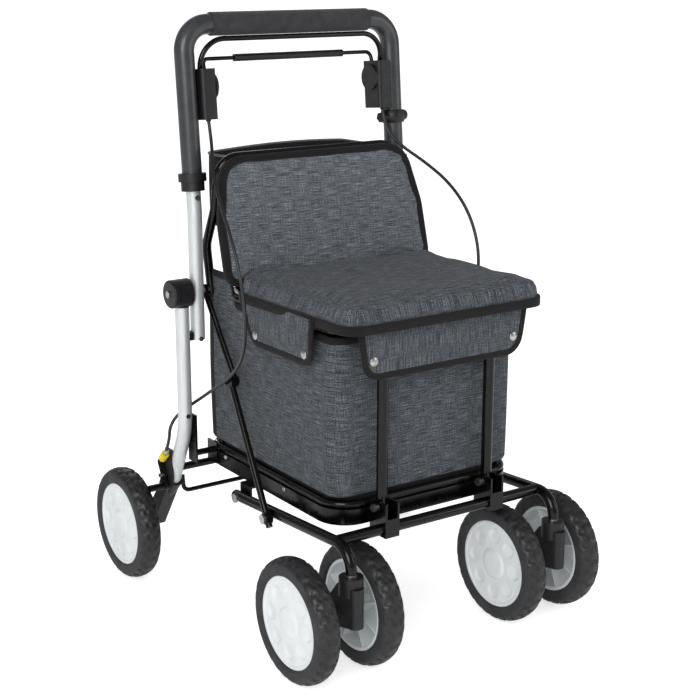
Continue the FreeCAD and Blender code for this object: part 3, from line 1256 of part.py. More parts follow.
# The route's points are distances in from the rear track, behind the leg pivot and above the floor.
# Brake cables: each hangs in a free bow from its box past the seat to the clip on the brace, then round the back
# of the leg to the adjuster on the wheel bracket, where the bare wire runs on to the brake arm.
CABLE_ROUTE = [
    (107, -6.5, 706),
    (93, -32.5, 679),
    (74, -70.5, 656),
    (60, -112.5, 629),
    (53, -149.5, 594),
    (51, -174.5, 551),
    (53, -185.5, 505),
    (58, -179.5, 460),
    (66, -159.5, 421),
    (74.5, -124.5, 388),
    (76, -86.5, 360),
    (75, -48.5, 338),
    (74, -14.5, 317),
    (65, 11.5, 298),
    (49, 23.5, 282),
    (36, 20.5, 266),
    (34, 18.5, 247),
]
wire_end = Vector(0, z.brake_anchor_y, z.brake_anchor_z)
adjuster_top = Vector(bracket_outer + z.adjuster_radius, z.adjuster_y, z.adjuster_z)
adjuster_heading = Vector(0, wire_end.y - adjuster_top.y, wire_end.z - adjuster_top.z).normalize()
cable_foot = adjuster_top - adjuster_heading * z.cable_exit_gap
cables = []
adjusters = []
for side, sign in SIDES:
    start = on_stem(box_outer - z.box_width / 2, z.box_top_rise - z.box_height - z.cable_exit_gap, z.box_depth / 4)
    route = [Vector(z.rear_track_half - inset, z.leg_pivot_y + behind, height)
             for inset, behind, height in CABLE_ROUTE]
    route = [start, *route, cable_foot]
    route = [Vector(sign * point.x, point.y, point.z) for point in route]
    radii = []
    for before, here, after in zip(route, route[1:], route[2:]):
        turn = (here - before).getAngle(after - here)
        radii.append(run_share * min((here - before).Length, (after - here).Length) / math.tan(turn / 2))
    path = bends(route, radii)
    cable = along(path, z.cable_radius)
    drift = cable.Volume / (math.pi * z.cable_radius ** 2 * path.Length)
    print(f"cable {side}: length {path.Length:.0f}, volume ratio {drift:.4f}, radii",
          " ".join(f"{bend:.0f}" for bend in radii))
    cables.append(solid(f"cable_{side}", cable))
    top = Vector(sign * adjuster_top.x, adjuster_top.y, adjuster_top.z)
    adjuster = rod(f"adjuster_{side}", "Sizes.adjuster_radius", "Sizes.adjuster_length", top, adjuster_heading)
    adjusters.append(adjuster)
    wire_length = math.hypot(wire_end.y - top.y, wire_end.z - top.z) - z.adjuster_length - z.brake_arm_radius
    cables.append(rod(f"brake_wire_{side}", "Sizes.brake_wire_radius", wire_length - z.clearance,
                      top + adjuster_heading * z.adjuster_length, adjuster_heading))
keep(group("cable_pair", *cables), "brake_cables")
keep(group("adjuster_pair", *adjusters), "cable_adjusters")

doc.recompute()
faults = [item.Name for item in doc.Objects if "Invalid" in item.State or "Error" in item.State]
for piece in parts:
    shape = piece.Shape
    if shape.isNull() or not shape.isValid() or not shape.Solids:
        faults.append(piece.Label)
if faults:
    raise RuntimeError("not built: " + ", ".join(faults))
for piece in parts:
    piece.Shape.exportStep(os.path.join("parts", piece.Label + ".step"))
    box = piece.Shape.BoundBox
    print(f"{piece.Label:28s} solids {len(piece.Shape.Solids)}  volume {piece.Shape.Volume / 1000:9.2f} cm3  "
          f"x {box.XMin:7.1f} {box.XMax:7.1f}  y {box.YMin:7.1f} {box.YMax:7.1f}  z {box.ZMin:7.1f} {box.ZMax:7.1f}")
print(len(parts), "sub-parts")
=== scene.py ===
import math

import bmesh
import bpy
from mathutils import Matrix, Vector, noise
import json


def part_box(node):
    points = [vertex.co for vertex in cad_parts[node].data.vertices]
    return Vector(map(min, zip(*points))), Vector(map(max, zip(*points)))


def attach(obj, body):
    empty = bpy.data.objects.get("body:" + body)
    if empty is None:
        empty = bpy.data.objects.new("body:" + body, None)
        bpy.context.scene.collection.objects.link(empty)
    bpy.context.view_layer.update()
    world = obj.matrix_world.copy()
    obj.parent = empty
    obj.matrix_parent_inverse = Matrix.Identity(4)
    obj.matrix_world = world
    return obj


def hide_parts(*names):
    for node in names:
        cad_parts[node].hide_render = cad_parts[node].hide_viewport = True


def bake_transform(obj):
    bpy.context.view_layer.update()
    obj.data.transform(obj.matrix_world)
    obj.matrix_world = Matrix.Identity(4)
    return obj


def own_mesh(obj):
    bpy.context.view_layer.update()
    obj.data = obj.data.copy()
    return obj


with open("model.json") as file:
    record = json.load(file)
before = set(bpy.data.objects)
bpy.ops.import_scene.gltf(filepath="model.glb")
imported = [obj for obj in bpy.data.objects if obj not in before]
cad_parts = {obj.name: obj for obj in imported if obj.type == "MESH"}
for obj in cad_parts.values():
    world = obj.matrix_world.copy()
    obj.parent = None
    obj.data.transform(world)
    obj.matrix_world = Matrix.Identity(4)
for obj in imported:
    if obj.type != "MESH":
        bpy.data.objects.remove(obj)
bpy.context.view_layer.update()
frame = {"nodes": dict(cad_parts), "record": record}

scene = bpy.context.scene
nodes = frame["nodes"]
SIDES = (("left", -1), ("right", 1))

# Camera: the photograph's own angle and lens, found from the wheels, the hoop's feet and the handle.
azimuth, elevation, roll = (math.radians(angle) for angle in (33.313, 15.444, -0.236))
aim = Vector((math.sin(azimuth) * math.cos(elevation), math.cos(azimuth) * math.cos(elevation),
              -math.sin(elevation)))
level = Vector((math.cos(azimuth), -math.sin(azimuth), 0))
across = level * math.cos(roll) + level.cross(aim) * math.sin(roll)
camera = bpy.data.objects.new("camera", bpy.data.cameras.new("camera"))
scene.collection.objects.link(camera)
camera.matrix_world = Matrix((across, across.cross(aim), -aim)).transposed().to_4x4()
camera.location = (-1.2089, -1.7586, 0.9606)
camera.data.sensor_width = 36
camera.data.lens = 74.18
camera.data.shift_x = 0.0503
camera.data.shift_y = 0.0156
scene.camera = camera


# Brake cables: each hangs in a free bow from its box past the seat, through the clip on the brace and
# round the leg to the adjuster, where the bare wire runs on to the brake arm.
def linear(code):
    """An sRGB hex colour as linear RGBA."""
    channels = [int(code[place:place + 2], 16) / 255 for place in (1, 3, 5)]
    return [c / 12.92 if c <= 0.04045 else ((c + 0.055) / 1.055) ** 2.4 for c in channels] + [1.0]


def add(tree, kind, inputs=None, **settings):
    """Adds a shader node, then sets its properties and fills or links its inputs."""
    made = tree.nodes.new(kind)
    for key, value in settings.items():
        setattr(made, key, value)
    for key, value in (inputs or {}).items():
        if isinstance(value, bpy.types.NodeSocket):
            tree.links.new(value, made.inputs[key])
        else:
            made.inputs[key].default_value = value
    return made


def finish_of(name, colour, roughness, **sockets):
    """A material with its own shader; colour is a hex code, and sockets are set on the shader itself."""
    made = bpy.data.materials.new(name)
    made.use_nodes = True
    shader = next(n for n in made.node_tree.nodes if n.type == "BSDF_PRINCIPLED")
    shader.inputs["Base Color"].default_value = linear(colour)
    shader.inputs["Roughness"].default_value = roughness
    for key, value in sockets.items():
        shader.inputs[key.replace("_", " ")].default_value = value
    return made, made.node_tree, shader


def noise_of(tree, scale, stretch=(1, 1, 1), detail=3.0):
    """A noise value in the object's own coordinates, stretched along the axes."""
    place = add(tree, "ShaderNodeTexCoord")
    mapped = add(tree, "ShaderNodeMapping", {"Vector": place.outputs["Object"], "Scale": stretch})
    grain = add(tree, "ShaderNodeTexNoise",
                {"Vector": mapped.outputs["Vector"], "Scale": scale, "Detail": detail})
    return grain.outputs["Fac"]


def spread(tree, value, low, high):
    """The value stretched from low to high, for a roughness or a factor."""
    return add(tree, "ShaderNodeMapRange", {"Value": value, "From Min": 0.3, "From Max": 0.7, "To Min": low,
                                            "To Max": high}).outputs["Result"]


def rough_by(tree, shader, value, low, high):
    """Roughness that wanders between low and high."""
    tree.links.new(spread(tree, value, low, high), shader.inputs["Roughness"])


def tint_by(tree, shader, value, dark, light):
    """Colour that wanders between two hex colours."""
    mix = add(tree, "ShaderNodeMix",
              {"Factor": spread(tree, value, 0, 1), "A": linear(dark), "B": linear(light)}, data_type="RGBA")
    tree.links.new(mix.outputs["Result"], shader.inputs["Base Color"])


def bump_by(tree, shader, height, strength, distance):
    """Relief of the given depth in metres."""
    bump = add(tree, "ShaderNodeBump", {"Height": height, "Strength": strength, "Distance": distance})
    tree.links.new(bump.outputs["Normal"], shader.inputs["Normal"])


sheath, tree, shader = finish_of("cable_sheath", "#232325", 0.34)
rough_by(tree, shader, noise_of(tree, 160), 0.26, 0.42)
bump_by(tree, shader, noise_of(tree, 900), 0.3, 0.00005)

zinc, tree, shader = finish_of("zinc_plated", "#c4c2bf", 0.3, Metallic=1.0)
tint_by(tree, shader, noise_of(tree, 260), "#a9a7a3", "#d6d5d3")
rough_by(tree, shader, noise_of(tree, 700), 0.22, 0.42)
bump_by(tree, shader, noise_of(tree, 2200), 0.2, 0.00004)

ROUTE = [
    (158.5, 122.9, 736.2), (158, 116, 706), (172, 90, 679), (191, 52, 656), (205, 10, 629), (212, -27, 594),
    (214, -52, 551), (212, -63, 505), (207, -57, 460), (199, -37, 421), (190.5, -2, 388), (189, 36, 360),
    (190, 74, 338), (191, 108, 317), (200, 134, 298), (216, 146, 282), (229, 143, 266), (231, 141, 247),
    (231.5, 154.6, 221.4),
]
for side, sign in SIDES:
    curve = bpy.data.curves.new(f"brake_cable_{side}", "CURVE")
    curve.dimensions = "3D"
    curve.resolution_u = 12
    curve.use_fill_caps = True
    line = curve.splines.new("NURBS")
    line.points.add(len(ROUTE) - 1)
    for point, (x, y, z) in zip(line.points, ROUTE):
        point.co = (sign * x / 1000, y / 1000, z / 1000, 1)
    line.order_u = 3
    line.use_endpoint_u = True
    route = bpy.data.objects.new(f"brake_route_{side}", curve)
    scene.collection.objects.link(route)
    bare = bpy.data.meshes.new_from_object(route.evaluated_get(bpy.context.evaluated_depsgraph_get()))
    curve.bevel_depth = 0.0025
    curve.bevel_resolution = 4
    curve.materials.append(sheath)
    bpy.context.view_layer.update()
    tube = bpy.data.meshes.new_from_object(route.evaluated_get(bpy.context.evaluated_depsgraph_get()))
    bpy.data.objects.remove(route)
    cable = bpy.data.objects.new(f"brake_cable_{side}", tube)
    scene.collection.objects.link(cable)
    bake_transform(cable)
    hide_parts("brake_cables")


def place_mesh(name, body, vertices, faces, material, slot, smooth=True):
    """A new piece from points and faces, riding on a body, its normals facing out."""
    mesh = bpy.data.meshes.new(name)
    mesh.from_pydata([tuple(v) for v in vertices], [], faces)
    work = bmesh.new()
    work.from_mesh(mesh)
    bmesh.ops.recalc_face_normals(work, faces=work.faces)
    work.to_mesh(mesh)
    work.free()
    mesh.polygons.foreach_set("use_smooth", [smooth] * len(mesh.polygons))
    made = bpy.data.objects.new(name, mesh)
    scene.collection.objects.link(made)
    mesh.materials.append(material)
    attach(made, body)
    return made


def skin(rings, loop=True, closed=False, caps=False):
    """Points and faces of a surface through rings of equal count; loop joins each ring's ends."""
    count = len(rings[0])
    vertices = [point for ring in rings for point in ring]
    faces = []
    for row in range(len(rings) if closed else len(rings) - 1):
        here = row * count
        above = (row + 1) % len(rings) * count
        for place in range(count if loop else count - 1):
            beside = (place + 1) % count
            faces.append((here + place, here + beside, above + beside, above + place))
    if caps:
        faces.append(tuple(range(count))[::-1])
        faces.append(tuple(range(len(vertices) - count, len(vertices))))
    return vertices, faces


def turned_rings(start, direction, profile, count=32):
    """Rings of a turned piece; the profile gives distance along the axis and radius."""
    axis = Vector(direction).normalized()
    side = axis.orthogonal().normalized()
    rings = []
    for along, radius in profile:
        ring = []
        for step in range(count):
            spoke = Matrix.Rotation(2 * math.pi * step / count, 3, axis) @ side
            ring.append(Vector(start) + axis * along + spoke * radius)
        rings.append(ring)
    return rings


# Wires and end caps of the cables: a bare steel wire runs from each yellow adjuster to its brake arm, and
# a plated ferrule is crimped on the sheath at the adjuster. At the brake box the sheath ends in a plastic
# cap.
for side, sign in SIDES:
    heading = Vector((0, 0.7071, -0.7071))
    top = Vector((sign * 0.2315, 0.1554, 0.2206))
    rings = turned_rings(top + heading * 0.0152, heading, [(0, 0.0009), (0.0081, 0.0009)], 10)
    wire = place_mesh(f"brake_wire_{side}", "legs", *skin(rings, caps=True), zinc, "zinc_steel")
    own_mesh(wire)
    rings = turned_rings(top - heading * 0.0105, heading,
                         [(0, 0.0028), (0.0004, 0.0033), (0.0085, 0.0036), (0.0102, 0.0036)], 20)
    place_mesh(f"cable_ferrule_{side}", "legs", *skin(rings, caps=True), zinc, "zinc_steel")
    lean = Vector((0, 0.0837, 0.9965))
    rings = turned_rings(Vector((sign * 0.1585, 0.1228, 0.7345)), lean,
                         [(0, 0.0027), (0.001, 0.0037), (0.0042, 0.0044)], 20)
    place_mesh(f"box_ferrule_{side}", "handle", *skin(rings, caps=True), sheath, "cable_sheath")

# Steel: the frame's tubes and plates have a glossy black paint, whose faint ripple breaks up its
# highlights. The handle tube has a satin paint with softer highlights, drawn in a pale charcoal: that
# paleness is partly painted light, for the key light falling on the handle.
paint, tree, shader = finish_of("glossy_black_paint", "#050506", 0.2, Coat_Weight=0.12, Coat_Roughness=0.08,
                                Specular_IOR_Level=0.3)
rough_by(tree, shader, noise_of(tree, 45), 0.16, 0.3)
bump_by(tree, shader, noise_of(tree, 420), 0.25, 0.00006)

lit_satin_paint, tree, shader = finish_of("satin_paint_painted_light", "#313437", 0.36, Coat_Weight=0.3,
                                      Coat_Roughness=0.25)
tint_by(tree, shader, noise_of(tree, 50), "#2c2f32", "#383b3e")
rough_by(tree, shader, noise_of(tree, 120), 0.32, 0.42)
bump_by(tree, shader, noise_of(tree, 600), 0.2, 0.00005)

# Silver tubes: satin anodised aluminium for the stems and the rear legs, drawn lengthwise, which
# stretches the highlight along the tube.
silver, tree, shader = finish_of("satin_silver", "#dcdfe0", 0.34, Metallic=0.5)
tint_by(tree, shader, noise_of(tree, 60, (6, 6, 0.4)), "#d5d9da", "#e6e9e9")
rough_by(tree, shader, noise_of(tree, 300, (5, 5, 0.2)), 0.28, 0.42)
bump_by(tree, shader, noise_of(tree, 700, (4, 4, 0.05)), 0.25, 0.00004)

# Plastics and rubber: fine-grained black mouldings, the grip's dull foam, the rims' pale smooth plastic,
# dull tyre rubber with a slightly smoother tread, the shiny yellow adjusters, and the plywood board under
# the cushion.
plastic, tree, shader = finish_of("black_plastic", "#161618", 0.45)
tint_by(tree, shader, noise_of(tree, 35), "#111113", "#1d1d20")
rough_by(tree, shader, noise_of(tree, 200), 0.38, 0.56)
bump_by(tree, shader, noise_of(tree, 1500), 0.35, 0.00008)

foam, tree, shader = finish_of("grip_foam", "#2d2b2f", 0.85, Sheen_Weight=0.15)
tint_by(tree, shader, noise_of(tree, 80), "#28262a", "#353337")
bump_by(tree, shader, noise_of(tree, 1200, detail=4), 0.6, 0.00025)

disc, tree, shader = finish_of("rim_plastic", "#e0e4e5", 0.36)
tint_by(tree, shader, noise_of(tree, 24), "#dadfe1", "#e7eaeb")
rough_by(tree, shader, noise_of(tree, 160), 0.3, 0.46)
bump_by(tree, shader, noise_of(tree, 900), 0.2, 0.00004)

rubber, tree, shader = finish_of("tyre_rubber", "#303133", 0.72)
tint_by(tree, shader, noise_of(tree, 30), "#28292b", "#38393b")
rough_by(tree, shader, noise_of(tree, 120), 0.62, 0.84)
bump_by(tree, shader, noise_of(tree, 1100), 0.4, 0.00012)

tread_rubber, tree, shader = finish_of("tread_rubber", "#242426", 0.45)
tint_by(tree, shader, noise_of(tree, 30), "#1e1e20", "#2b2b2d")
rough_by(tree, shader, noise_of(tree, 90), 0.36, 0.54)
bump_by(tree, shader, noise_of(tree, 1100), 0.3, 0.0001)

yellow, tree, shader = finish_of("adjuster_yellow", "#e8d51d", 0.3)
rough_by(tree, shader, noise_of(tree, 300), 0.24, 0.4)

plywood, tree, shader = finish_of("board_wood", "#b79b70", 0.6)
tint_by(tree, shader, noise_of(tree, 30, (1, 6, 6)), "#a88b5f", "#c6ad84")


# Cloths: a plain weave of mixed grey-blue yarns whose slubs show as streaks both ways, black binding
# tape, the pocket's black cloth and a grey piping. pitch is the spacing of the threads' relief in metres.
def woven(name, dark, middle, light, pitch, depth, slub):
    """A plain weave in UV metres: long slubs along U, short faint ones along V, and the threads' relief."""
    made, tree, shader = finish_of(name, middle, 0.88, Sheen_Weight=0.05, Sheen_Roughness=0.5,
                                   Specular_IOR_Level=0.3)
    place = add(tree, "ShaderNodeTexCoord").outputs["UV"]
    streaks = []
    for stretch in ((38, 1350, 1), (1350, 50, 1), (520, 560, 1)):
        mapped = add(tree, "ShaderNodeMapping", {"Vector": place, "Scale": stretch}).outputs["Vector"]
        streaks.append(add(tree, "ShaderNodeTexNoise",
                           {"Vector": mapped, "Scale": slub, "Detail": 3.0}).outputs["Fac"])
    mixed = add(tree, "ShaderNodeMix", {"Factor": 0.33, "A": streaks[0], "B": streaks[1]}).outputs["Result"]
    mixed = add(tree, "ShaderNodeMix", {"Factor": 0.25, "A": mixed, "B": streaks[2]}).outputs["Result"]
    ramp = add(tree, "ShaderNodeValToRGB", {"Fac": mixed})
    stops = ramp.color_ramp.elements
    stops[0].position = 0.405
    stops[0].color = linear(dark)
    stops[1].position = 0.6
    stops[1].color = linear(light)
    stops.new(0.5).color = linear(middle)
    tree.links.new(ramp.outputs["Color"], shader.inputs["Base Color"])
    threads = []
    for axis in ("X", "Y"):
        threads.append(add(tree, "ShaderNodeTexWave",
                           {"Vector": place, "Scale": 0.314 / pitch, "Distortion": 0.6, "Detail": 1.0},
                           bands_direction=axis).outputs["Fac"])
    weave = add(tree, "ShaderNodeMath", {0: threads[0], 1: threads[1]}, operation="MULTIPLY").outputs[0]
    height = add(tree, "ShaderNodeMath", {0: weave, 1: mixed}, operation="ADD").outputs[0]
    bump_by(tree, shader, height, 0.5, depth)
    return made


melange = woven("melange_cloth", "#24272b", "#41454a", "#757a80", 0.0012, 0.0003, 1.0)
# The backrest's cloth is the seat's melange drawn paler: painted light, for the light falling on the
# backrest.
melange_painted_light = woven("backrest_melange_painted_light", "#33373c", "#555a60", "#8b9197", 0.0012, 0.0003, 1.0)
tape = woven("binding_tape", "#0f0d0f", "#151316", "#201d20", 0.0014, 0.0003, 1.4)
pocket_cloth = woven("black_cloth", "#0f1012", "#16171a", "#222428", 0.0011, 0.00025, 1.0)
grey_piping, tree, shader = finish_of("grey_piping", "#5d6064", 0.6)
tint_by(tree, shader, noise_of(tree, 200), "#505357", "#6c7074")

# Carried-over CAD pieces take the material of their slot in the record.
slot_finish = {
    "glossy_black": paint, "satin_silver": silver, "black_plastic": plastic, "grip_foam": foam,
    "rim_plastic": disc, "tyre_rubber": rubber, "melange_fabric": melange,
    "black_fabric": pocket_cloth, "board_wood": plywood, "zinc_steel": zinc,
    "adjuster_yellow": yellow, "cable_sheath": sheath,
}
for part in frame["record"]["subparts"]:
    node = nodes[part["node"]]
    node.data.materials.clear()
    node.data.materials.append(slot_finish[part["material_slot"]])
# The handle tube takes the paler satin paint, whose pale base colour is partly painted light from the key.
nodes["handle_tube"].data.materials[0] = lit_satin_paint

# Wheels: rounded tyres with wavy chevron blocks, and pale plastic rims: a disc with a raised cap and
# eight shallow scoops that deepen outward, and ribs on the inner side.
WHEELS = [("rear_left", "rear_wheel_left", -1), ("rear_right", "rear_wheel_right", 1)]
for side, sign in SIDES:
    for place, outward in (("outer", sign), ("inner", -sign)):
        WHEELS.append((f"caster_{side}_{place}", f"caster_wheel_{side}_{place}", outward))
half_profile = [(15.0, 66), (16.9, 67.5), (17.4, 71), (17.3, 75), (17.5, 78.4), (17.0, 81.4), (15.6, 84.2),
                (13.6, 86.2), (11.2, 87.6), (9.0, 88.5), (6.8, 89.1), (4.6, 89.6), (2.3, 89.9)]
profile = half_profile + [(0, 90)] + [(-a, r) for a, r in reversed(half_profile)]
face_profile = [(0.4, 16.3), (9, 16.28), (16, 16.2), (19, 15.95), (20.6, 15.5), (21.8, 14.8), (22.6, 14.0),
                (23.2, 13.5), (23.7, 13.25), (24.2, 13.12), (25.2, 13.2), (27.5, 13.2)]
face_profile += [(29 + step * 1.5, 13.2) for step in range(18)] + [(57, 13.2), (59.6, 13.25), (60.6, 13.6)]
back_profile = [(61.0, 14.4), (61.6, 14.9), (65.2, 15), (66, 14.6), (66, -14.6), (65.2, -15), (61.8, -15),
                (61, -14.6), (60.2, 8.2), (59, 9), (18, 9), (17, 8.4), (17, -13), (16.4, -13.5),
                (5.4, -13.5), (5.4, 9)]


def ease(value, low, high):
    """A smooth step from 0 at low to 1 at high."""
    share = min(1.0, max(0.0, (value - low) / (high - low)))
    return share * share * (3 - 2 * share)


def scoop(radius, turn):
    """Depth of the disc's eight scoops in mm."""
    off = (turn + math.pi / 8) % (math.pi / 4) - math.pi / 8
    ahead, aside = radius * math.cos(off) - 43.5, radius * math.sin(off)
    return 3.4 * (1 - ease(math.hypot(ahead, aside), 9.2, 11.8)) * (0.25 + 0.75 * ease(ahead, -10, 7))


repeats = 28
steps_per_repeat = 10
disc_steps = 192
rib_count = 8
for wheel, body, face in WHEELS:
    low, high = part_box(wheel.replace("_", "_tyre_", 1))
    centre = (low + high) / 2
    rings = []
    for step in range(repeats * steps_per_repeat):
        turn = 2 * math.pi * step / (repeats * steps_per_repeat)
        ring = []
        for a, r in profile:
            ramp = abs(a) / 16 * 0.95 + 0.17 * math.sin(abs(a) * 0.8)
            phase = (repeats * turn / (2 * math.pi) + ramp) % 1.0
            groove = min(1.0, max(0.0, (0.36 - abs(phase - 0.5)) / 0.07))
            depth = 2.2 * (1 - groove) * min(1.0, max(0.0, (r - 82.5) / 3)) * min(1.0, abs(a) / 3.0)
            reach = r - depth
            ring.append(centre + Vector((a, reach * math.cos(turn), reach * math.sin(turn))) / 1000)
        rings.append(ring)
    tyre = place_mesh(f"{wheel}_tread", body, *skin(rings, closed=True), rubber, "tyre_rubber")
    tyre.data.materials.append(tread_rubber)
    for piece in tyre.data.polygons:
        off = piece.center - centre
        piece.material_index = 1 if math.hypot(off.y, off.z) > 0.0826 else 0
    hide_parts(wheel.replace("_", "_tyre_", 1))

    rings = []
    for r, a in face_profile + back_profile:
        ring = []
        for step in range(disc_steps):
            turn = 2 * math.pi * step / disc_steps
            out = a - (scoop(r, turn) if (r, a) in face_profile else 0)
            ring.append(centre + Vector((face * out, r * math.cos(turn), r * math.sin(turn))) / 1000)
        rings.append(ring)
    rim = place_mesh(f"{wheel}_disc", body, *skin(rings), disc, "rim_plastic")
    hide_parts(wheel.replace("_", "_rim_", 1))

    vertices = []
    faces = []
    for count in range(rib_count):
        spin = Matrix.Rotation(math.pi / 4 * (count + 0.5), 3, "X")
        start = len(vertices)
        for x, y, r in [(-12.5, -1.4, 16.5), (-12.5, 1.4, 16.5), (-12.5, 1.2, 61.4), (-12.5, -1.2, 61.4),
                        (9.1, -1.8, 16.5), (9.1, 1.8, 16.5), (9.1, 1.6, 61.4), (9.1, -1.6, 61.4)]:
            vertices.append(centre + spin @ Vector((face * x, y, r)) / 1000)
        for quad in ((0, 1, 2, 3), (4, 7, 6, 5), (0, 4, 5, 1), (1, 5, 6, 2), (2, 6, 7, 3), (3, 7, 4, 0)):
            faces.append(tuple(start + corner for corner in quad))
    place_mesh(f"{wheel}_ribs", body, vertices, faces, disc, "rim_plastic", False)

# Grip: a dull foam sleeve with rounded ends, pushed over the handle's top bar. It takes the length and
# the thickness of the CAD grip.
low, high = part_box("handle_grip")
centre = (low + high) / 2
half = (high.x - low.x) / 2
radius = (high.z - low.z) / 2
grip_profile = [(-half, radius - 0.0024), (-half, radius - 0.0012), (-half + 0.0008, radius - 0.0003)]
grip_profile += [(-half + 0.003 + step * (2 * half - 0.006) / 46, radius - 0.0001 - 0.0001 * (step % 2))
                 for step in range(47)]
grip_profile += [(half - 0.0008, radius - 0.0003), (half, radius - 0.0012), (half, radius - 0.0024)]
rings = turned_rings(Vector((0, centre.y, centre.z)), (1, 0, 0), grip_profile, 48)
grip = place_mesh("grip_sleeve", "handle", *skin(rings), foam, "grip_foam")
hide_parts("handle_grip")

# Tube details: adjusting holes punched in the stems and the legs, drawn as dark dished discs just proud
# of the tube, because the solids aren't cut. Their dark colour is painted shade, for the shade inside
# each hole.
hole, tree, shader = finish_of("tube_hole_painted_shade", "#141416", 0.6)
rough_by(tree, shader, noise_of(tree, 200), 0.5, 0.7)
for side, sign in SIDES:
    for name, body, x, y, z in (("stem_hole", "seat", 0.186, 0.1113, 0.409),
                                ("leg_hole", "legs", 0.212, 0.1113, 0.290)):
        rings = turned_rings((sign * x, y + 0.0012, z), (0, -1, 0),
                             [(0, 0.0036), (0.0013, 0.0036), (0.0016, 0.0033), (0.0012, 0.0026),
                              (0.0009, 0.0001)], 24)
        place_mesh(f"{name}_{side}", body, *skin(rings), hole, "black_plastic")

# Clamp: a black plastic band round the right side of the handle below its brake box, with a six-sided
# block on one side and a round knob on the other. It is in the scene only.
lean = Vector((0, math.sin(math.radians(4.8)), math.cos(math.radians(4.8))))
start = Vector((0.186, 0.1225, 0.6)) + lean * 0.112
rings = turned_rings(start, lean, [(0, 0.0151), (0, 0.0176), (0.001, 0.0186), (0.019, 0.0186), (0.02, 0.0176),
                                   (0.02, 0.0151)], 36)
place_mesh("handle_clamp_band", "handle", *skin(rings), plastic, "black_plastic")
for name, way, reach in (("block", Vector((-0.97, -0.24, 0)), 0.031),
                         ("knob", Vector((0.97, 0.24, 0)), 0.029)):
    rings = turned_rings(start + lean * 0.01 + way * 0.0165, way,
                         [(0, 0.0085), (reach - 0.0175, 0.0085), (reach - 0.0165, 0.0078),
                          (reach - 0.016, 0.005)],
                         6 if name == "block" else 28)
    place_mesh(f"handle_clamp_{name}", "handle", *skin(rings, caps=True), plastic, "black_plastic",
               name == "knob")


# Small fasteners: domed, zinc-plated bolt and rivet heads with a dished middle, each seated where a line
# from outside first meets the frame.
def bolt(name, node_name, body, start, way, radius):
    """A bolt head with a dished middle on the CAD node, where a line from start along way first meets it."""
    _, spot, normal, _ = nodes[node_name].ray_cast(Vector(start), Vector(way).normalized())
    rings = turned_rings(spot, normal, [(-0.0006, radius), (0.0009, radius), (0.0017, radius * 0.86),
                                        (0.0021, radius * 0.6), (0.0013, radius * 0.42), (0.001, 0.0001)], 24)
    return place_mesh(name, body, *skin(rings), zinc, "zinc_steel")


for side, sign in SIDES:
    bolt(f"tray_bolt_{side}", "tray_loop", "base", (sign * 0.25, 0.132, 0.235), (-sign, 0, 0), 0.0052)
    bolt(f"rail_bolt_{side}", "side_rails", "base", (sign * 0.25, 0.012, 0.1843), (-sign, 0, 0), 0.0045)
    bolt(f"hoop_bolt_{side}", "tray_loop", "base", (sign * 0.097, -0.5, 0.2285), (0, 1, 0), 0.004)
    for place, y in (("rear", 0.085), ("front", -0.085)):
        bolt(f"tray_rivet_{side}_{place}", "bag_tray", "base", (sign * 0.4, y, 0.222), (-sign, 0, 0), 0.0035)
    bolt(f"fork_bolt_{side}", f"caster_fork_{side}", f"caster_{side}", (sign * 0.4, -0.262, 0.152),
         (-sign, 0, 0), 0.0042)


# Seat cushion: a melange cover over foam on the seat board, blown up as cloth so that its sides draw in
# between the corners, with a black binding round its foot.
def rounded(corners, radius, runs, bend_steps=8):
    """Points round a closed outline with arcs at its corners; runs gives the pieces of each straight side."""
    count = len(corners)
    radii = radius if isinstance(radius, (list, tuple)) else [radius] * count
    arcs = []
    for place, here in enumerate(corners):
        into = (here - corners[place - 1]).normalized()
        out = (corners[(place + 1) % count] - here).normalized()
        turn = into.angle(out)
        bend = radii[place]
        middle = here + (out - into).normalized() * (bend / math.cos(turn / 2))
        arcs.append((here - into * bend * math.tan(turn / 2), middle, into.cross(out), turn))
    points = []
    for place, (start, middle, axis, turn) in enumerate(arcs):
        for part in range(bend_steps + 1):
            points.append(middle + Matrix.Rotation(turn * part / bend_steps, 3, axis) @ (start - middle))
        last = points[-1]
        following = arcs[(place + 1) % count][0]
        points += [last.lerp(following, part / runs[place]) for part in range(1, runs[place])]
    return points


def lay_uv(piece, upright=False):
    """UVs in metres, laid flat on the side that each face faces; upright turns the weave on the sides."""
    mesh = piece.data
    layer = mesh.uv_layers.new(name="cloth")
    for face in mesh.polygons:
        normal = [abs(c) for c in face.normal]
        flat = normal.index(max(normal))
        for corner in face.loop_indices:
            point = mesh.vertices[mesh.loops[corner].vertex_index].co
            spot = [(point.y, point.z), (point.x, point.z), (point.x, point.y)][flat]
            layer.data[corner].uv = spot[::-1] if upright and flat < 2 else spot


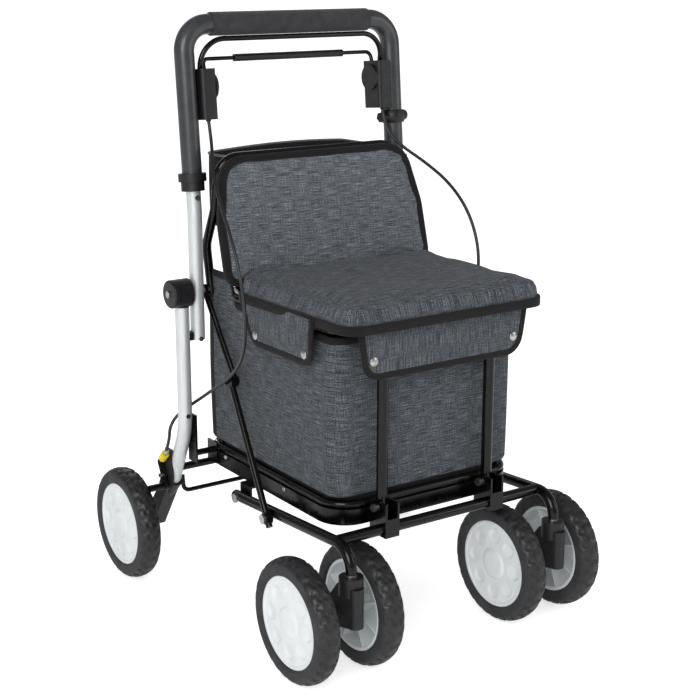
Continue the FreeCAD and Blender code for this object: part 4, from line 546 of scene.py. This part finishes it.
def stuffed(piece, voxel, cap, rests, upright=False):
    """Remeshes the closed form, blows it up as cloth and keeps every point within the cap."""
    bpy.context.view_layer.objects.active = piece
    grain = piece.modifiers.new("grain", "REMESH")
    grain.mode = "VOXEL"
    grain.voxel_size = voxel
    bpy.ops.object.modifier_apply(modifier=grain.name)
    mesh = piece.data
    start = [v.co.copy() for v in mesh.vertices]
    held = piece.vertex_groups.new(name="rests")
    held.add([v.index for v in mesh.vertices if rests(v.co)], 1.0, "REPLACE")
    cloth = piece.modifiers.new("cloth", "CLOTH")
    cloth.settings.mass = 0.3
    cloth.settings.tension_stiffness = 12
    cloth.settings.compression_stiffness = 12
    cloth.settings.shear_stiffness = 6
    cloth.settings.bending_stiffness = 0.6
    cloth.settings.use_pressure = True
    cloth.settings.uniform_pressure_force = 4.0
    cloth.settings.effector_weights.gravity = 0
    cloth.settings.vertex_group_mass = held.name
    cloth.point_cache.frame_start = 1
    cloth.point_cache.frame_end = 20
    for frame_number in range(1, 21):
        scene.frame_set(frame_number)
    blown = piece.evaluated_get(bpy.context.evaluated_depsgraph_get()).data
    moved = [v.co.copy() for v in blown.vertices]
    piece.modifiers.remove(cloth)
    scene.frame_set(1)
    for vertex, before, after in zip(mesh.vertices, start, moved):
        shift = after - before
        vertex.co = before + shift * min(1.0, cap / max(shift.length, 1e-9))
    mesh.polygons.foreach_set("use_smooth", [True] * len(mesh.polygons))
    lay_uv(piece, upright)
    soften = piece.modifiers.new("soften", "SUBSURF")
    soften.levels = 1
    soften.render_levels = 1


def tape_round(name, body, points, inward, normals, width, half_thickness, closed=True):
    """A binding folded over an edge: its width goes inward, its two layers lie along the normals."""
    profile = [(-0.0009, 0), (-0.0006, 0.7), (0.001, 1), (width * 0.5, 1.04), (width - 0.0004, 1),
               (width, 0.75), (width, -0.75), (width - 0.0004, -1), (width * 0.5, -1.04), (0.001, -1),
               (-0.0006, -0.7)]
    rings = []
    for point, side, normal in zip(points, inward, normals):
        rings.append([point + side * a + normal * (half_thickness * b) for a, b in profile])
    piece = place_mesh(name, body, *skin(rings, closed=closed, caps=not closed), tape, "black_fabric")
    lay_uv(piece)
    return piece


def inward_of(points, normals, closed=True):
    """The direction into the panel at each point of its edge."""
    middle = sum(points, Vector()) / len(points)
    sides = []
    for place, (point, normal) in enumerate(zip(points, normals)):
        after = points[(place + 1) % len(points)] if closed or place + 1 < len(points) else point
        before = points[place - 1] if closed or place else point
        side = normal.cross(after - before).normalized()
        sides.append(side if side.dot(middle - point) > 0 else -side)
    return sides


def stitches(name, body, points, normals, thread, length=0.0032, gap=0.0022, bulge=0.0004):
    """A row of stitches sunk half into the cloth along a line."""
    vertices = []
    faces = []
    travelled = 0.0
    starts = [0.0]
    for before, after in zip(points, points[1:]):
        travelled += (after - before).length
        starts.append(travelled)

    def at(distance):
        for place in range(len(points) - 1):
            if starts[place + 1] >= distance:
                share = (distance - starts[place]) / max(starts[place + 1] - starts[place], 1e-9)
                return points[place].lerp(points[place + 1], share), normals[place]
        return points[-1], normals[-1]

    distance = gap
    while distance + length < travelled:
        first, normal = at(distance)
        second, _ = at(distance + length)
        along = (second - first).normalized()
        side = normal.cross(along).normalized() * 0.00045
        start = len(vertices)
        for share, swell in ((0.0, 0.3), (0.3, 1.0), (0.7, 1.0), (1.0, 0.3)):
            spot = first.lerp(second, share)
            vertices += [spot + side * swell, spot + normal * bulge * swell, spot - side * swell,
                         spot - normal * bulge]
        for row in range(3):
            for edge in range(4):
                here = start + row * 4
                faces.append((here + edge, here + (edge + 1) % 4, here + 4 + (edge + 1) % 4, here + 4 + edge))
        faces += [(start, start + 3, start + 2, start + 1), (start + 12, start + 13, start + 14, start + 15)]
        distance += length + gap
    return place_mesh(name, body, vertices, faces, thread, "black_fabric", False)


def plan(front_half, rear_half, front, rear, height):
    """Corners of a plan outline, the front edge at -Y, in metres."""
    return [Vector((-front_half, -front, height)), Vector((front_half, -front, height)),
            Vector((rear_half, rear, height)), Vector((-rear_half, rear, height))]


cushion_levels = [(0.4972, -0.003), (0.500, -0.0005), (0.509, 0.0005), (0.518, -0.0015), (0.5235, -0.006)]
rings = [rounded(plan(0.170 + spread_by, 0.181 + spread_by, 0.262 + spread_by, 0.022, height),
                 0.026 + spread_by, [44, 34, 44, 34]) for height, spread_by in cushion_levels]
cushion = place_mesh("seat_cushion_cover", "lid", *skin(rings, caps=True), melange, "melange_fabric")
stuffed(cushion, 0.005, 0.006, lambda spot: spot.z < 0.4995, upright=True)
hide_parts("seat_cushion")

edge = rounded(plan(0.1695, 0.1808, 0.2618, 0.0215, 0.5005), 0.026, [60, 50, 60, 50])
up = [Vector((0, 0, 1))] * len(edge)
inward = inward_of(edge, up)
outer_edge = [point - side * 0.0012 + Vector((0, 0, -0.0125)) for point, side in zip(edge, inward)]
tape_round("cushion_binding", "lid", outer_edge, up, [side * -1 for side in inward], 0.0125, 0.0014)
seam_thread, tree, shader = finish_of("seam_thread", "#2c2c30", 0.8)
bump_by(tree, shader, noise_of(tree, 2500), 0.4, 0.0001)


# Flaps: melange cloth hung from the cushion's edge, bound in black tape on its three free sides, with a
# row of stitches inside the tape and pressed silver snaps near its lower corners.
def thicken(piece, thickness, offset):
    """Gives a cloth surface its thickness in metres."""
    thick = piece.modifiers.new("cloth_thickness", "SOLIDIFY")
    thick.thickness = thickness
    thick.offset = offset


def close_foot(piece, count):
    """Closes the foot of an open pouch with one face through its first ring of points."""
    work = bmesh.new()
    work.from_mesh(piece.data)
    work.verts.ensure_lookup_table()
    work.faces.new([work.verts[place] for place in range(count)])
    bmesh.ops.recalc_face_normals(work, faces=work.faces)
    work.to_mesh(piece.data)
    work.free()
    piece.data.polygons.foreach_set("use_smooth", [True] * len(piece.data.polygons))


def hung_flap(name, body, place, half_top, half_low, drop, corner, wave, bulge):
    """A flap with rounded lower corners; place(u, v) gives the point u across and v below its top edge."""
    rows = [0.0] + [drop * share for share in (0.12, 0.26, 0.4, 0.54, 0.66)]
    for step in range(1, 9):
        rows.append(drop - corner + corner * math.sin(math.pi / 2 * step / 8))
    rows = sorted(row for row in rows if row <= drop)
    grid = []
    for v in rows:
        half = half_top + (half_low - half_top) * v / drop
        below = v - (drop - corner)
        inset = corner - math.sqrt(max(0.0, corner ** 2 - max(0.0, below) ** 2))
        across_points = [place(half_share * (half - inset), v) for half_share in
                         [math.sin(math.pi / 2 * step / 14) for step in range(-14, 15)]]
        grid.append([point + Vector(bulge) * (math.sin(math.pi * v / drop) * 0.6
                                              + wave * noise.noise(point * 22)) for point in across_points])
    sheet = place_mesh(name, body, *skin(grid, loop=False), melange, "melange_fabric")
    area = sum(face.area for face in sheet.data.polygons)
    lay_uv(sheet, True)
    thicken(sheet, 0.0022, 0)
    rim = [row[0] for row in grid] + grid[-1][1:-1] + [row[-1] for row in reversed(grid)]
    return sheet, rim, area


def snap(name, body, centre, outward):
    """A pressed snap fastener: a domed silver cap with a rolled edge."""
    rings = turned_rings(Vector(centre), outward,
                         [(-0.0005, 0.0062), (0.0006, 0.0066), (0.0013, 0.0062), (0.0012, 0.0052),
                          (0.0018, 0.0046), (0.0023, 0.003), (0.0025, 0.0001)], 28)
    return place_mesh(name, body, *skin(rings), zinc, "zinc_steel")


front_flap, rim, area = hung_flap("front_flap", "lid",
                                  lambda u, v: Vector((u, -0.2466 - 0.0008 * v, 0.4965 - v)),
                                  0.147, 0.136, 0.0775, 0.024, 0.5, (0, -0.0018, 0))
outward = [Vector((0, -1, 0))] * len(rim)
rim_inward = inward_of(rim, outward, False)
front_tape = tape_round("front_flap_binding", "lid", rim, rim_inward, outward, 0.0085, 0.0021, False)
seam = [point + side * 0.0068 + Vector((0, -0.0022, 0)) for point, side in zip(rim, rim_inward)]
front_seam = stitches("front_flap_seam", "lid", seam, outward, seam_thread)
front_snaps = [snap(f"front_snap_{side}", "lid", (sign * 0.122, -0.2488, 0.4455), (0, -1, 0))
               for side, sign in SIDES]
side_flaps = [front_flap]
for side, sign in SIDES:
    flap, rim, area = hung_flap(
        f"side_flap_{side}", "lid",
        lambda u, v: Vector((sign * (0.1766 + 0.002 * v), -0.087 - 0.23 * v + u, 0.4965 - v)),
        0.097, 0.080, 0.067, 0.02, 0.5, (sign * 0.0015, 0, 0))
    outward = [Vector((sign, 0, 0))] * len(rim)
    rim_inward = inward_of(rim, outward, False)
    bound = tape_round(f"side_flap_binding_{side}", "lid", rim, rim_inward, outward, 0.0085, 0.0021, False)
    seam = [point + inner * 0.0068 + Vector((sign * 0.0022, 0, 0)) for point, inner in zip(rim, rim_inward)]
    sewn = stitches(f"side_flap_seam_{side}", "lid", seam, outward, seam_thread)
    snaps = [snap(f"side_snap_{side}_{place}", "lid", (sign * 0.1788, y, 0.445), (sign, 0, 0))
             for place, y in (("rear", -0.036), ("front", -0.164))]
    side_flaps.append(flap)
for flap in side_flaps:
    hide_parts("lid_flaps")

# Shopping bag: a soft open box of melange cloth that stands in the tray, tucked in behind the tube loop.
# Black tape binds its foot, rear corners and mouth.
levels = [0.2053, 0.2070, 0.2150, 0.2260, 0.2360, 0.2415, 0.2440, 0.2480, 0.2560, 0.2640]
levels += [0.2640 + (0.472 - 0.2640) * step / 26 for step in range(1, 27)]
foot_ring = rounded(plan(0.1488, 0.1488, 0.2048, 0.1358, 0), 0.034, [44, 48, 44, 48])
upper_ring = rounded(plan(0.1588, 0.1588, 0.2108, 0.1475, 0), 0.022, [44, 48, 44, 48])
count = len(foot_ring)
shaped = []
for height in levels:
    share = min(1.0, max(0.0, (height - 0.2385) / 0.007))
    share = share * share * (3 - 2 * share)
    free = min(1.0, max(0.0, (height - 0.243) / 0.02))
    swell = math.sin(math.pi * min(1.0, max(0.0, (height - 0.245) / 0.24)))
    row = []
    for low_point, high_point in zip(foot_ring, upper_ring):
        point = low_point.lerp(high_point, share) + Vector((0, 0, height))
        side_wall = abs(point.x) > 0.15
        if side_wall:
            away = Vector((math.copysign(1, point.x), 0, 0))
        else:
            away = Vector((0, math.copysign(1, point.y), 0))
        fold = 0.0016 * noise.noise(Vector((point.x * 9, point.y * 9, height * 5)))
        crease_y = 0.052 - 0.16 * (height - 0.33)
        crease = -0.0035 * math.exp(-((point.y - crease_y) / 0.012) ** 2) if side_wall else 0
        crease *= min(1.0, max(0.0, (height - 0.25) / 0.05)) * min(1.0, max(0.0, (0.47 - height) / 0.08))
        point += away * (swell * (0.0016 + fold) + crease) * free
        lift = min(1.0, max(0.0, (point.y - 0.052) / 0.016)) if side_wall else 0
        lift *= min(1.0, max(0.0, (0.128 - point.y) / 0.008)) * max(0.0, (height - 0.43) / 0.042)
        row.append(point + Vector((0, 0, 0.040 * lift)))
    shaped.append(row)
bag = place_mesh("shopping_bag_cloth", "base", *skin(shaped), melange, "melange_fabric")
close_foot(bag, count)
bag.data.materials.append(tape)
for face in bag.data.polygons:
    spot = face.center
    at_foot = spot.z < 0.2435
    at_corner = spot.y > 0.1175 and abs(spot.x) > 0.1435
    if at_foot or at_corner:
        face.material_index = 1
lay_uv(bag)
thicken(bag, 0.0016, -1)
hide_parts("shopping_bag")
top = shaped[-1]
centre = sum(top, Vector()) / len(top)
sides = []
for place, point in enumerate(top):
    run = top[(place + 1) % len(top)] - top[place - 1]
    run.z = 0
    way = Vector((0, 0, 1)).cross(run).normalized()
    sides.append(way if way.dot(point - centre) > 0 else -way)
down = [Vector((0, 0, -1))] * len(top)
mouth = [point - side * 0.0008 + Vector((0, 0, 0.0006)) for point, side in zip(top, sides)]
bag_binding = tape_round("bag_mouth_binding", "base", mouth, down, sides, 0.0095, 0.0018)
for piece in (bag, bag_binding):
    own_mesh(piece)

# Backrest: a padded panel of melange on its tube, its cover blown up as cloth, bound all round
# in black tape with a row of stitches inside. Its front is bare fabric. Its melange is drawn paler than
# the seat's: painted light, for the light that the backrest catches.
tilt = Matrix.Rotation(math.radians(-14.5), 3, "X")
pad_up = tilt @ Vector((0, 0, 1))
pad_front = tilt @ Vector((0, -1, 0))
foot = Vector((0, 0.034, 0.512))


def on_pad(x, height, forward=0.0):
    """A place on the backrest's middle plane."""
    return foot + Vector((x, 0, 0)) + pad_up * height + pad_front * forward


pad_corners = [on_pad(-0.1855, -0.009), on_pad(0.1855, -0.009), on_pad(0.1845, 0.085), on_pad(0.166, 0.1795),
               on_pad(-0.166, 0.1795), on_pad(-0.1845, 0.085)]
pad_edge = rounded(pad_corners, [0.02, 0.02, 0.12, 0.042, 0.042, 0.12], [56, 12, 8, 40, 8, 12])
rings = [[point + pad_front * depth + (foot + pad_up * 0.09 - point).normalized() * inset
          for point in pad_edge]
         for depth, inset in ((-0.0042, 0.003), (-0.002, 0.0015), (0.002, 0.0015), (0.0042, 0.003))]
pad = place_mesh("backrest_cover", "seat", *skin(rings, caps=True), melange_painted_light, "melange_fabric")
stuffed(pad, 0.004, 0.004, lambda spot: (spot - foot).dot(pad_front) < -0.003)
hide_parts("backrest_pad")
facing = [pad_front] * len(pad_edge)
pad_inward = inward_of(pad_edge, facing)
tape_round("backrest_binding", "seat", pad_edge, pad_inward, facing, 0.0105, 0.0052)
seam = [point + side * 0.0088 + pad_front * 0.0053 for point, side in zip(pad_edge, pad_inward)]
stitches("backrest_seam", "seat", seam, facing, seam_thread)

# Rear pocket: an open pouch of black cloth sewn behind the backrest. Its rear rim rises in the middle,
# and a grey piping runs round the mouth.
levels = [0.5762, 0.5775, 0.581] + [0.581 + (0.6845 - 0.581) * step / 16 for step in range(1, 17)]
low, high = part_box("rear_pocket")
shaped = []
for height in levels:
    belly = math.sin(math.pi * (height - 0.5762) / 0.1083)
    tuck = 0.004 * max(0.0, 1 - (height - 0.5762) / 0.004)
    corners = [Vector((-0.1485 + tuck, low.y + 0.0005 + tuck, height)),
               Vector((0.1485 - tuck, low.y + 0.0005 + tuck, height)),
               Vector((0.1485 - tuck, high.y - 0.0025 - tuck, height)),
               Vector((-0.1485 + tuck, high.y - 0.0025 - tuck, height))]
    ring = rounded(corners, 0.0135, [48, 3, 48, 3])
    row = []
    for point in ring:
        rear = min(1.0, max(0.0, (point.y - 0.125) / 0.02))
        rise = rear * (0.0065 * math.cos(math.pi / 2 * min(1.0, abs(point.x) / 0.15))
                       - 0.12 * max(0.0, point.x - 0.1))
        rise *= (height - 0.5762) / 0.1083
        ripple = 0.0012 * noise.noise(Vector((point.x * 14, 3.0, height * 8))) * belly
        row.append(point + Vector((0, rear * (0.0012 * belly + ripple), rise)))
    shaped.append(row)
pouch = place_mesh("rear_pocket_cloth", "seat", *skin(shaped), pocket_cloth, "black_fabric")
close_foot(pouch, len(shaped[0]))
lay_uv(pouch)
thicken(pouch, 0.0016, -1)
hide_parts("rear_pocket")
top = shaped[-1]
rings = []
for place, point in enumerate(top):
    run = (top[(place + 1) % len(top)] - top[place - 1]).normalized()
    side = Vector((0, 0, 1)).cross(run).normalized()
    lift = run.cross(side)
    rings.append([point + (side * math.cos(math.pi * step / 5) + lift * math.sin(math.pi * step / 5)) * 0.0019
                  for step in range(10)])
place_mesh("pocket_piping", "seat", *skin(rings, closed=True), grey_piping, "black_fabric")

# Studio: a flat floor and a world that the camera sees as white, with a soft key from the left, a fill
# from the right and a rim light from behind. Other rays see a dimmer floor, and glossy rays the dimmest
# world.
floor_finish, tree, shader = finish_of("studio_floor", "#ffffff", 0.9, Specular_IOR_Level=0.1)
shader.inputs["Emission Color"].default_value = linear("#ffffff")
seen = add(tree, "ShaderNodeLightPath").outputs["Is Camera Ray"]
glow = add(tree, "ShaderNodeMapRange", {"Value": seen, "To Min": 0.12, "To Max": 0.62})
tree.links.new(glow.outputs["Result"], shader.inputs["Emission Strength"])
mesh = bpy.data.meshes.new("studio_floor")
floor_corners = [(-30, -30, -0.0005), (30, -30, -0.0005), (30, 30, -0.0005), (-30, 30, -0.0005)]
mesh.from_pydata(floor_corners, [], [(0, 1, 2, 3)])
floor = bpy.data.objects.new("studio_floor", mesh)
scene.collection.objects.link(floor)
mesh.materials.append(floor_finish)
world = bpy.data.worlds.new("studio")
scene.world = world
world.use_nodes = True
background = next(n for n in world.node_tree.nodes if n.type == "BACKGROUND")
background.inputs["Color"].default_value = (1, 1, 1, 1)
path = add(world.node_tree, "ShaderNodeLightPath")
dim = add(world.node_tree, "ShaderNodeMapRange",
          {"Value": path.outputs["Is Glossy Ray"], "To Min": 0.56, "To Max": 0.24})
glow = add(world.node_tree, "ShaderNodeMath", {0: dim.outputs["Result"], 1: path.outputs["Is Camera Ray"]},
           operation="MAXIMUM")
world.node_tree.links.new(glow.outputs[0], background.inputs["Strength"])
for name, spot, size, power in (("key", (-2.4, -2.1, 1.9), 1.8, 60), ("fill", (2.4, -2.2, 1.4), 1.6, 14),
                                ("rim", (0.6, 2.4, 1.6), 1.6, 9)):
    light = bpy.data.lights.new(name, "AREA")
    light.size = size
    light.energy = power
    lamp = bpy.data.objects.new(name, light)
    scene.collection.objects.link(lamp)
    lamp.location = spot
    lamp.rotation_euler = (Vector((0, 0, 0.45)) - Vector(spot)).to_track_quat("-Z", "Y").to_euler()
scene.view_settings.view_transform = "Standard"
